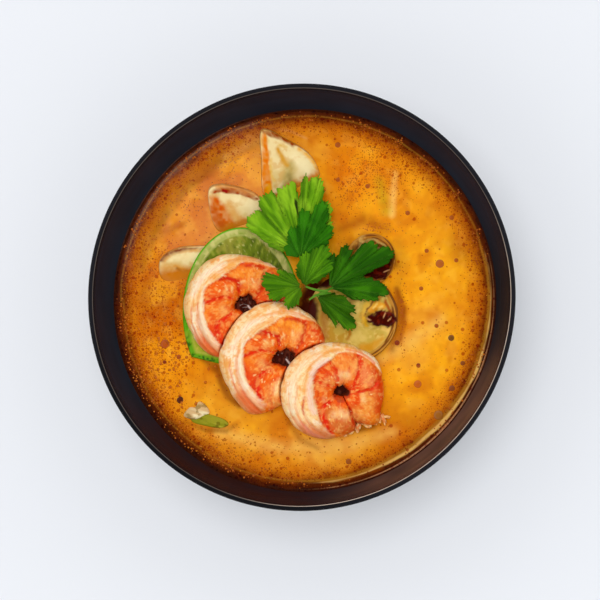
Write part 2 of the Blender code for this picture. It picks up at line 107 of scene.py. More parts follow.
def spun(name, profile, turns):
    """A closed mesh turned about Z from a profile whose first and last points are on the axis."""
    bm = bmesh.new()
    verts = [bm.verts.new((radius * MM, 0, height * MM)) for radius, height in profile]
    edges = [bm.edges.new(pair) for pair in zip(verts, verts[1:])]
    bmesh.ops.spin(
        bm, geom=verts + edges, cent=(0, 0, 0), axis=(0, 0, 1), angle=math.tau, steps=turns, use_merge=True
    )
    on_axis = [vert for vert in bm.verts if math.hypot(vert.co.x, vert.co.y) < 0.001 * MM]
    bmesh.ops.remove_doubles(bm, verts=on_axis, dist=0.001 * MM)
    return meshed(name, bm)


def meshed(name, bm):
    mesh = bpy.data.meshes.new(name)
    bm.to_mesh(mesh)
    bm.free()
    return mesh


def points_of(mesh):
    """The mesh's points, in millimetres."""
    flat = np.empty(len(mesh.vertices) * 3, np.float32)
    mesh.vertices.foreach_get("co", flat)
    return flat.reshape(-1, 3).astype(float) / MM


def linear(hex_colour):
    """An sRGB hex colour's linear channels."""
    channels = np.array([int(hex_colour[i : i + 2], 16) / 255 for i in (0, 2, 4)])
    return np.where(channels <= 0.04045, channels / 12.92, ((channels + 0.055) / 1.055) ** 2.4)


def add(nodes, kind, inputs, **settings):
    """One more node, with its settings, and with inputs that are values or other nodes' outputs."""
    made = nodes.new(kind)
    for name, value in settings.items():
        setattr(made, name, value)
    for name, value in inputs.items():
        if isinstance(value, bpy.types.NodeSocket):
            nodes.id_data.links.new(value, made.inputs[name])
        else:
            made.inputs[name].default_value = value
    return made


def new_finish(name, inputs):
    """A new material with these values on its shader, and its nodes and shader to add to."""
    material = bpy.data.materials.new(name)
    material.use_nodes = True
    nodes = material.node_tree.nodes
    shader = nodes["Principled BSDF"]
    for socket, value in inputs.items():
        shader.inputs[socket].default_value = value
    return material, nodes, shader


def link(from_socket, to_socket):
    to_socket.id_data.links.new(from_socket, to_socket)


def finished(name, mesh, finish, slot, *cad_nodes):
    """The mesh as a smooth piece that rides on the bowl and stands for its CAD nodes."""
    mesh.update()
    mesh.shade_smooth()
    mesh.materials.append(finish)
    made = bpy.data.objects.new(name, mesh)
    bpy.context.scene.collection.objects.link(made)
    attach(made, "root")
    if cad_nodes:
        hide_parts(*cad_nodes)
    return made


def eased(share):
    """From 0 to 1 with a soft start and a soft stop."""
    share = np.clip(share, 0, 1)
    return share * share * (3 - 2 * share)


def noise(points, size, seed):
    """Smooth random values from 0 to 1 at an array of points, about a size apart."""
    place = points / size + 31.7 * seed
    cell = np.floor(place).astype(np.int64)
    inside = place - cell
    inside = inside * inside * (3 - 2 * inside)
    total = np.zeros(len(points))
    for corner in itertools.product((0, 1), repeat=points.shape[1]):
        weight = np.prod(np.where(corner, inside, 1 - inside), axis=1)
        mixed = (cell + corner) @ np.array((73856093, 19349663, 83492791)[: points.shape[1]]) + seed * 7919
        mixed = (mixed ^ (mixed >> 13)) * 1274126177
        mixed = (mixed ^ (mixed >> 16)) & 0xFFFFFF
        total += weight * mixed / 0xFFFFFF
    return total


def clouds(points, size, seed):
    """Noise of a size with finer noise over it, from 0 to 1."""
    parts = [noise(points, size / 2**octave, seed + octave) / 2**octave for octave in range(4)]
    return sum(parts) / 1.875


def stroke(place, route, soft):
    """How much of a brush line through (x, y, half width) covers each (x, y), from 0 to 1."""
    cover = np.zeros(len(place))
    for start, stop in zip(route, route[1:] or route):
        run = np.subtract(stop[:2], start[:2])
        share = np.clip((place - start[:2]) @ run / max(run @ run, 1e-9), 0, 1)
        away = np.hypot(*(place - start[:2] - share[:, None] * run).T)
        half_width = start[2] + (stop[2] - start[2]) * share
        cover = np.maximum(cover, eased((half_width + soft - away) / (2 * soft)))
    return cover


def lay(paint, hex_colour, cover):
    """Lays a colour over the paint, in place, by each point's cover."""
    paint += np.asarray(cover)[:, None] * (linear(hex_colour) - paint)


def painted(mesh, paint, wet, warm_light_tint=(1, 1, 1)):
    """Keeps the paint, times a tint that paints in warm light, on the mesh, with how wet each point is in its
    alpha.
    """
    kept = mesh.color_attributes.new("paint", "FLOAT_COLOR", "POINT")
    kept.data.foreach_set("color", np.column_stack([paint * warm_light_tint, wet]).astype(np.float32).ravel())


def moved(mesh, points):
    mesh.vertices.foreach_set("co", (points * MM).astype(np.float32).ravel())


def faced_out(mesh):
    """Turns a closed mesh's faces outwards if they point in."""
    mesh.calc_loop_triangles()
    corners = np.empty(len(mesh.loop_triangles) * 3, np.int32)
    mesh.loop_triangles.foreach_get("vertices", corners)
    a, b, c = points_of(mesh)[corners.reshape(-1, 3)].transpose(1, 0, 2)
    if np.einsum("ij,ij->", a, np.cross(b, c)) < 0:
        mesh.flip_normals()


# Moulded melamine: a hard resin with an even black body and a soft gloss. Handling leaves a haze of
# finest scratches that varies the gloss a little.
moulded_melamine, nodes, shader = new_finish(
    "moulded_black_melamine", {"Roughness": 0.3, "IOR": 1.5, "Specular IOR Level": 0.06}
)
place = add(nodes, "ShaderNodeTexCoord", {}).outputs["Object"]
colour = add(nodes, "ShaderNodeAttribute", {}, attribute_name="paint")
link(colour.outputs["Color"], shader.inputs["Base Color"])
haze = add(nodes, "ShaderNodeTexNoise", {"Vector": place, "Scale": 1 / (6 * MM), "Detail": 4})
gloss = add(nodes, "ShaderNodeMapRange", {"Value": haze.outputs["Fac"], "To Min": 0.16, "To Max": 0.3})
link(gloss.outputs["Result"], shader.inputs["Roughness"])

# Reflections of the broth and room painted on the inner wall, as (middle and reach in degrees from +X,
# colour, cover)
WALL_REFLECTIONS = ((150, 150, "20252f", 1.0), (-48, 42, "745040", 0.66), (-112, 44, "34150a", 0.8))

bowl_mesh = spun("bowl_body", bowl_profile(), BOWL_TURNS)
bowl_points = points_of(bowl_mesh)
out = np.hypot(bowl_points[:, 0], bowl_points[:, 1])
turn = np.degrees(np.arctan2(bowl_points[:, 1], bowl_points[:, 0]))
rim = BOWL_RADIUS - RIM_WIDTH
wall_at = np.array([wall_height(radius, rim, FLOOR_INSIDE) for radius in out])
on_wall = (np.abs(bowl_points[:, 2] - wall_at) < 0.2) & (out < rim + 0.01)
paint = np.tile(linear("1b1b20"), (len(out), 1))
streaks = noise(np.column_stack([np.radians(turn) * 8, bowl_points[:, 2] / 2.2]), 1, 5)
for middle, reach, colour, cover in WALL_REFLECTIONS:
    away = np.abs((turn - middle + 180) % 360 - 180)
    below_lip = eased((BOWL_HEIGHT - 1.2 - bowl_points[:, 2]) / 3.5)
    lay(paint, colour, on_wall * cover * eased((reach - away) / 30) * below_lip * (0.55 + 0.6 * streaks))
# Painted highlight along the ridge at the lip's inner edge, brightest on the near right
ridge = (out > rim) & (out < rim + 0.3) & (bowl_points[:, 2] > BOWL_HEIGHT - 1)
lit = eased((75 - np.abs((turn + 42 + 180) % 360 - 180)) / 40)
lay(paint, "d8c8b8", ridge * (0.15 + 0.85 * lit))
# Painted shade: the lip darker on the near left
on_lip = (out > rim + 0.3) & (bowl_points[:, 2] > BOWL_HEIGHT - 0.7)
lay(paint, "08080a", 0.6 * on_lip * eased((60 - np.abs((turn + 120 + 180) % 360 - 180)) / 30))
painted(bowl_mesh, paint, np.ones(len(paint)))
faced_out(bowl_mesh)
finished("bowl_body", bowl_mesh, moulded_melamine, "black_melamine", "bowl")


# --- Soup ------------------------------------------------------------------------------------------
# Coconut milk and chilli paste broth: an opaque, slightly oily liquid, yellow where milk has spread and
# orange where the chilli oil gathers. It climbs the wall and the pieces afloat in a thin wet edge.

SOUP_LEVEL = 49
INTO_WALL = 0.6
MENISCUS_CLIMB, MENISCUS_WIDTH = 0.3, 1.5
SOUP_TURNS, SOUP_RINGS = 360, 120


def soup_profile():
    """The level top out into the wall, with closer rings at the edge, then down inside the wall."""
    wall = [point for point in inner_wall() if point[1] < SOUP_LEVEL + MENISCUS_CLIMB]
    edge = wall[-1][0]
    top = []
    for ring in range(SOUP_RINGS):
        radius = (edge + INTO_WALL) * (1 - (1 - ring / (SOUP_RINGS - 1)) ** 1.35)
        top.append((radius, SOUP_LEVEL))
    below = [(radius + INTO_WALL, height) for radius, height in reversed(wall[2:-1:3])]
    return edge, top + below + [(0, FLOOR_INSIDE - INTO_WALL)]


# Fields of colour in the broth, as (x, y, reach, colour, strength): its light side is on the right
SOUP_FIELDS = (
    (-62, 0, 24, "c86404", 0.8),
    (-72, -12, 16, "be5a03", 0.7),
    (-58, -34, 22, "dd8306", 0.7),
    (-40, -48, 18, "e29a22", 0.6),
    (-30, -58, 26, "e09a2c", 0.7),
    (10, -62, 22, "e0962a", 0.7),
    (44, -60, 18, "bc6c10", 0.7),
    (52, -24, 26, "f0a616", 0.9),
    (60, 14, 24, "f0a91a", 0.9),
    (40, 40, 22, "ee9f1a", 0.85),
    (22, 60, 17, "d97408", 0.85),
    (36, 50, 9, "c9640a", 0.5),
    (8, 70, 14, "dc8c14", 0.6),
    (-10, 66, 20, "d98426", 0.6),
    (-44, 46, 24, "dd8a30", 0.7),
    (66, -4, 10, "dd860e", 0.55),
    (60, 34, 10, "dd8a10", 0.45),
    (46, -24, 9, "e3b05a", 0.4),
    (24, 14, 13, "8a3f08", 0.8),
    (-68, 2, 12, "b45204", 0.8),
    (8, -60, 14, "ecb058", 0.6),
    (54, -10, 11, "eaaa3c", 0.55),
    (70, 22, 9, "b0600a", 0.75),
    (-22, 70, 9, "dc984e", 0.6),
)
# Streaks and stains in it, with painted shadows, highlights and reflections, as (colour, strength, softness,
# route of (x, y, half width))
SOUP_STREAKS = (
    ("4a1404", 1.0, 2.6, ((3, 13, 2), (6, 7, 4), (3, 0, 5), (0, -6, 4), (4, -12, 2))),
    ("6a2406", 0.9, 2.2, ((26, 26, 1), (36, 22, 1.6), (40, 14, 1.4))),
    ("a04a08", 0.7, 2.4, ((16, 30, 1.5), (26, 34, 2.4), (36, 30, 1.6))),
    ("f4c87c", 0.75, 1.5, ((39.6, 54, 0.8), (38.2, 36, 1.2))),
    ("b39a1c", 0.55, 2.5, ((33, 51, 1.5), (35.6, 38, 2.2))),
    # painted reflection of the light along the near edge
    ("ecb868", 0.75, 3.2, ((-36, -57, 2), (-10, -64, 2.2), (20, -62.5, 2.4), (38, -57, 1.6))),
    ("e6b468", 0.6, 3.0, ((34, -26, 2), (46, -18, 3), (58, -10, 2))),
    # painted shadows beside the second prawn, the third prawn and its tail
    ("7a3208", 0.75, 1.3, ((-37.5, -28, 1.2), (-35, -36, 1.7), (-32, -41.5, 1.8), (-27.5, -45.5, 1.4))),
    ("9c520c", 0.6, 1.6, ((-8, -47, 1), (-5.5, -53, 1.6), (-1.5, -60, 1.2), (6, -64, 0.8))),
    ("7e3a08", 0.7, 1.4, ((18, -53, 1), (24, -56, 1.4), (30, -55, 0.8))),
    # painted shadows to the right of the straw mushrooms
    ("c9851c", 0.5, 2.0, ((41, 24, 2), (43, 14, 2.4), (41, 4, 1.6))),
    ("8a4a0c", 0.6, 1.5, ((38, -22, 1.2), (41.5, -10, 1.6), (40.5, 2, 1.2))),
    # painted highlight where the broth climbs the first mushroom slice
    ("dc9a66", 0.7, 0.7,
     ((-24.6, 67.1, 0.5), (-19.4, 72.3, 0.6), (-14.3, 74.4, 0.6), (-5.7, 73.1, 0.5), (1.2, 69.7, 0.3))),
    # painted shade of the wall on the broth's far left edge
    ("9a6212", 0.75, 1.8, ((-71, 14, 2), (-66, 30, 3), (-54, 48, 3.4), (-34, 64, 3.2), (-14, 72, 2.4))),
    ("b0601c", 0.6, 1.6, ((-48, 52, 2), (-40, 56, 3))),
    # painted shadow under the small pieces afloat
    ("8a4a0a", 0.7, 1.0, ((-51, -52.6, 0.6), (-42, -56.4, 0.9), (-33, -56.6, 0.9), (-29, -54, 0.4))),
    # painted shadow to the right of the first straw mushroom
    ("8a3c06", 0.85, 1.2, ((40, 4, 0.8), (43.4, -4, 1.0), (43, -12, 1.0), (41, -20, 0.6))),
    ("8a4408", 0.7, 1.2, ((-45, -24, 1.0), (-41, -27, 1.6), (-38, -30, 1.6))),
    ("b86420", 0.6, 1.8, ((-32, 60, 1.2), (-26, 66, 2.2))),
    ("a85a18", 0.5, 1.5, ((-66, 26, 1), (-58, 31, 1.8), (-52, 33, 1))),
    ("b05006", 0.6, 2.4, ((-68, 8, 2), (-70, 0, 3), (-66, -8, 2))),
    ("f09a28", 0.5, 2.4, ((-62, 12, 1.6), (-58, 8, 1.6))),
    ("eeac38", 0.6, 3.0, ((48, -6, 2), (52, -12, 2.4))),
    ("e2a45c", 0.65, 1.8, ((-34, 62, 1), (-22, 68.5, 1.8), (-12, 71, 1.2))),
)
# The dark ring along the wall, from chilli oil gathered there and deepened as painted shade under the wall,
# as (distance in from the wall, colour, cover)
SOUP_EDGE = (
    (13, "c46c08", 0.5),
    (9, "a04e05", 0.75),
    (6, "6c2c02", 0.88),
    (3.6, "4a1a03", 0.93),
    (1.4, "301206", 0.95),
)
# The light caught by the wet edge on the near right, as (degrees, half width, distance in from the wall)
LIT_EDGE = (
    (-104, 0, 3),
    (-84, 0.4, 3),
    (-60, 0.7, 3.2),
    (-42, 0.95, 2.6),
    (-30, 0.9, 2.2),
    (-10, 0.5, 1.9),
    (8, 0.4, 1.8),
    (20, 0, 1.8),
)

soup_edge, profile = soup_profile()
soup_mesh = spun("broth", profile, SOUP_TURNS)
soup_points = points_of(soup_mesh)
soup_out = np.hypot(soup_points[:, 0], soup_points[:, 1])
on_top = soup_points[:, 2] > SOUP_LEVEL - 0.01
flat = soup_points[:, :2]
turn = np.degrees(np.arctan2(flat[:, 1], flat[:, 0]))

paint = np.tile(linear("e2900f"), (len(soup_points), 1))
for x, y, reach, colour, strength in SOUP_FIELDS:
    away = np.hypot(flat[:, 0] - x, flat[:, 1] - y)
    lay(paint, colour, strength * eased(1.3 - away / reach) * np.clip(0.4 + 1.2 * clouds(flat, 9, 3), 0, 1))
drift = clouds(flat, 12, 11)
lay(paint, "c86406", 0.55 * eased((drift - 0.54) / 0.14))
lay(paint, "f4ae20", 0.5 * eased((0.43 - drift) / 0.14))
curds = clouds(flat, 4.5, 17)
lay(paint, "d0760c", 0.2 * eased((curds - 0.54) / 0.1))
lay(paint, "f2b648", 0.25 * eased((0.42 - curds) / 0.1))
for colour, strength, soft, route in SOUP_STREAKS:
    lay(paint, colour, strength * stroke(flat, route, soft) * np.clip(0.3 + 1.4 * clouds(flat, 5, 19), 0, 1))
wander = 2.4 * (clouds(flat, 7, 21) - 0.5) + 1.6 * (noise(flat, 1.8, 25) - 0.5)
for distance, colour, cover in SOUP_EDGE:
    lay(paint, colour, cover * eased((soup_out + wander - (soup_edge - distance)) / (0.3 * distance + 0.6)))
lit_turns, lit_widths, lit_distances = zip(*LIT_EDGE)
along_edge = np.radians(turn)[:, None]
lit_width = np.interp(turn, lit_turns, lit_widths) * (0.6 + 0.8 * noise(along_edge * 12, 1, 27))
lit_place = soup_edge - np.interp(turn, lit_turns, lit_distances) + 0.5 * (noise(along_edge * 9, 1, 28) - 0.5)
lay(paint, "b07c28", 0.6 * eased((lit_width + 0.6 - np.abs(soup_out - lit_place + 0.9)) / 0.8))
lay(paint, "e2b678", 0.85 * eased((lit_width - 0.05 - np.abs(soup_out - lit_place)) / 0.5))
lay(paint, "c08868", 0.8 * eased((0.45 * lit_width - np.abs(soup_out - soup_edge + 0.5)) / 0.3))
paint = np.clip(paint * (1.09, 1.07, 0.7), 0, 1)
from_near_left = np.hypot((flat[:, 0] + 66) / 16, (flat[:, 1] + 20) / 40)
droplets = 0.05 + 0.5 * eased(1.5 - from_near_left) + 0.8 * eased((soup_out - 68) / 9)
droplets += 0.4 * eased(1.4 - np.hypot((flat[:, 0] - 34) / 18, (flat[:, 1] - 55) / 12))
lit_cover = eased((lit_width + 1.5 - np.abs(soup_out - lit_place)) / 1.5)
droplets *= (0.5 + clouds(flat, 10, 29)) * (1 - 0.9 * lit_cover)

climb = MENISCUS_CLIMB * np.exp(-np.maximum(soup_edge - soup_out, 0) / MENISCUS_WIDTH)
soup_points[on_top, 2] += climb[on_top]
soup_points[on_top, 2] += 0.12 * (clouds(flat[on_top], 12, 31) - 0.5)
moved(soup_mesh, soup_points)
painted(soup_mesh, paint, np.clip(droplets, 0, 1))
faced_out(soup_mesh)


def multiplied(nodes, share, under, tint):
    """The colour under it, multiplied by a tint to the extent of a share."""
    mixed = add(nodes, "ShaderNodeMix", {"Factor": share}, data_type="RGBA", blend_type="MULTIPLY")
    link(under, mixed.inputs[6])
    mixed.inputs[7].default_value = (*linear(tint), 1)
    return mixed.outputs[2]


def droplet_layer(nodes, place, under, amount, spacing, radius, tint):
    """Round droplets that tint the colour under them, in as many cells as the amount, 0 to 1, asks for."""
    cells = add(
        nodes, "ShaderNodeTexVoronoi", {"Vector": place, "Scale": 1 / (spacing * MM)}, voronoi_dimensions="2D"
    )
    lot = add(nodes, "ShaderNodeSeparateColor", {"Color": cells.outputs["Color"]})
    size = add(nodes, "ShaderNodeMapRange", {"Value": lot.outputs["Green"], "To Min": 0.35})
    away = add(
        nodes, "ShaderNodeMath", {0: cells.outputs["Distance"], 1: size.outputs["Result"]}, operation="DIVIDE"
    )
    edge = radius / spacing
    disc = add(
        nodes,
        "ShaderNodeMapRange",
        {"Value": away.outputs["Value"], "From Min": 0.6 * edge, "From Max": edge, "To Min": 1, "To Max": 0},
    )
    chosen = add(nodes, "ShaderNodeMath", {0: lot.outputs["Red"], 1: amount}, operation="LESS_THAN")
    cover = add(
        nodes, "ShaderNodeMath", {0: disc.outputs["Result"], 1: chosen.outputs["Value"]}, operation="MULTIPLY"
    )
    soft = add(nodes, "ShaderNodeMath", {0: cover.outputs["Value"], 1: 0.75}, operation="MULTIPLY")
    return multiplied(nodes, soft.outputs["Value"], under, tint)


# Creamy broth: the milk fat makes it opaque, the oil on top makes it smooth and wet. Droplets of chilli
# oil too fine to model show as a mottle of deeper orange.
creamy_broth, nodes, shader = new_finish(
    "creamy_chilli_broth", {"Roughness": 0.1, "IOR": 1.38, "Specular IOR Level": 0.3}
)
place = add(nodes, "ShaderNodeTexCoord", {}).outputs["Object"]
colour = add(nodes, "ShaderNodeAttribute", {}, attribute_name="paint")
swirl = add(
    nodes, "ShaderNodeTexNoise", {"Vector": place, "Scale": 1 / (5 * MM), "Detail": 5, "Distortion": 0.6}
)
swirl_share = add(
    nodes,
    "ShaderNodeMapRange",
    {"Value": swirl.outputs["Fac"], "From Min": 0.4, "From Max": 0.75, "To Max": 0.3},
)
layered = multiplied(nodes, swirl_share.outputs["Result"], colour.outputs["Color"], "e0802a")
for spacing, radius, tint in ((3.4, 1.0, "c05c10"), (1.5, 0.5, "b8560e"), (0.8, 0.28, "b4540c")):
    layered = droplet_layer(nodes, place, layered, colour.outputs["Alpha"], spacing, radius, tint)
link(layered, shader.inputs["Base Color"])
ripple = add(nodes, "ShaderNodeTexNoise", {"Vector": place, "Scale": 1 / (7 * MM), "Detail": 3})
bump = add(nodes, "ShaderNodeBump", {"Height": ripple.outputs["Fac"], "Strength": 0.15, "Distance": 0.3 * MM})
link(bump.outputs["Normal"], shader.inputs["Normal"])
finished("broth", soup_mesh, creamy_broth, "tom_yum_broth", "soup")


# --- Prawns ----------------------------------------------------------------------------------------
# Three peeled prawns, split down the back and cooked, which curls them up tight: the split back turns
# out as a smooth pale band, and the flesh inside the curl is orange and red, creased between segments.

PRAWN_HALF_HEIGHT = 7.6
TAIL_TAPER = 0.18  # of the height lost by the tail
SECTION_POWER = 0.9  # under 1 squares the section's corners a little
END_ROUNDING = 0.026  # of the length
PRAWN_AROUND, PRAWN_ALONG = 112, 336
CREASES = (150, 192, 236, 295, 345)  # down the sides, in degrees clockwise from +X
BACK_RADIUS = 20  # of the curl's back, which turns degrees into a length along it

# The curl's middle, its hollow's radius, its two ends in degrees clockwise from +X, its tilt down towards
# a heading, its outer edge as (degrees, radius), and where the pattern's middle is from the curl's
PRAWNS = (
    {
        "place": (-24.9, -1.9, 52.6), "hollow": 3.9, "start": 62, "end": 398, "tilt": 8, "heading": -55,
        "edge": ((62, 17.6), (92, 20.0), (112, 25.2), (126, 26.8), (160, 26.2), (180, 26.2), (205, 24.8),
                 (235, 23.8), (262, 21.0), (285, 19.8), (315, 20.2), (360, 18.3), (400, 17.0)),
        "shift": (1.15, -0.78), "look": "curl",
    },
    {
        "place": (-8.6, -25.2, 54.0), "hollow": 3.9, "start": 62, "end": 398, "tilt": 10, "heading": -50,
        "edge": ((62, 18.0), (92, 20.8), (110, 25.8), (121, 28.0), (135, 27.2), (160, 26.6), (180, 27.0),
                 (205, 25.2), (245, 24.6), (285, 22.6), (320, 20.8), (360, 18.3), (400, 17.0)),
        "shift": (1.8, -0.5), "look": "curl",
    },
    {
        "place": (16.0, -39.4, 54.2), "hollow": 2.3, "start": 62, "end": 430, "tilt": 9, "heading": -35,
        "edge": ((62, 17.4), (92, 20.0), (112, 22.2), (128, 23.7), (150, 25.1), (187, 25.0), (228, 22.6),
                 (263, 20.4), (300, 19.6), (318, 20.2), (351, 18.8), (384, 19.2), (402, 21.4), (420, 16.0)),
        "shift": (0.7, -1.2), "look": "open",
    },
)

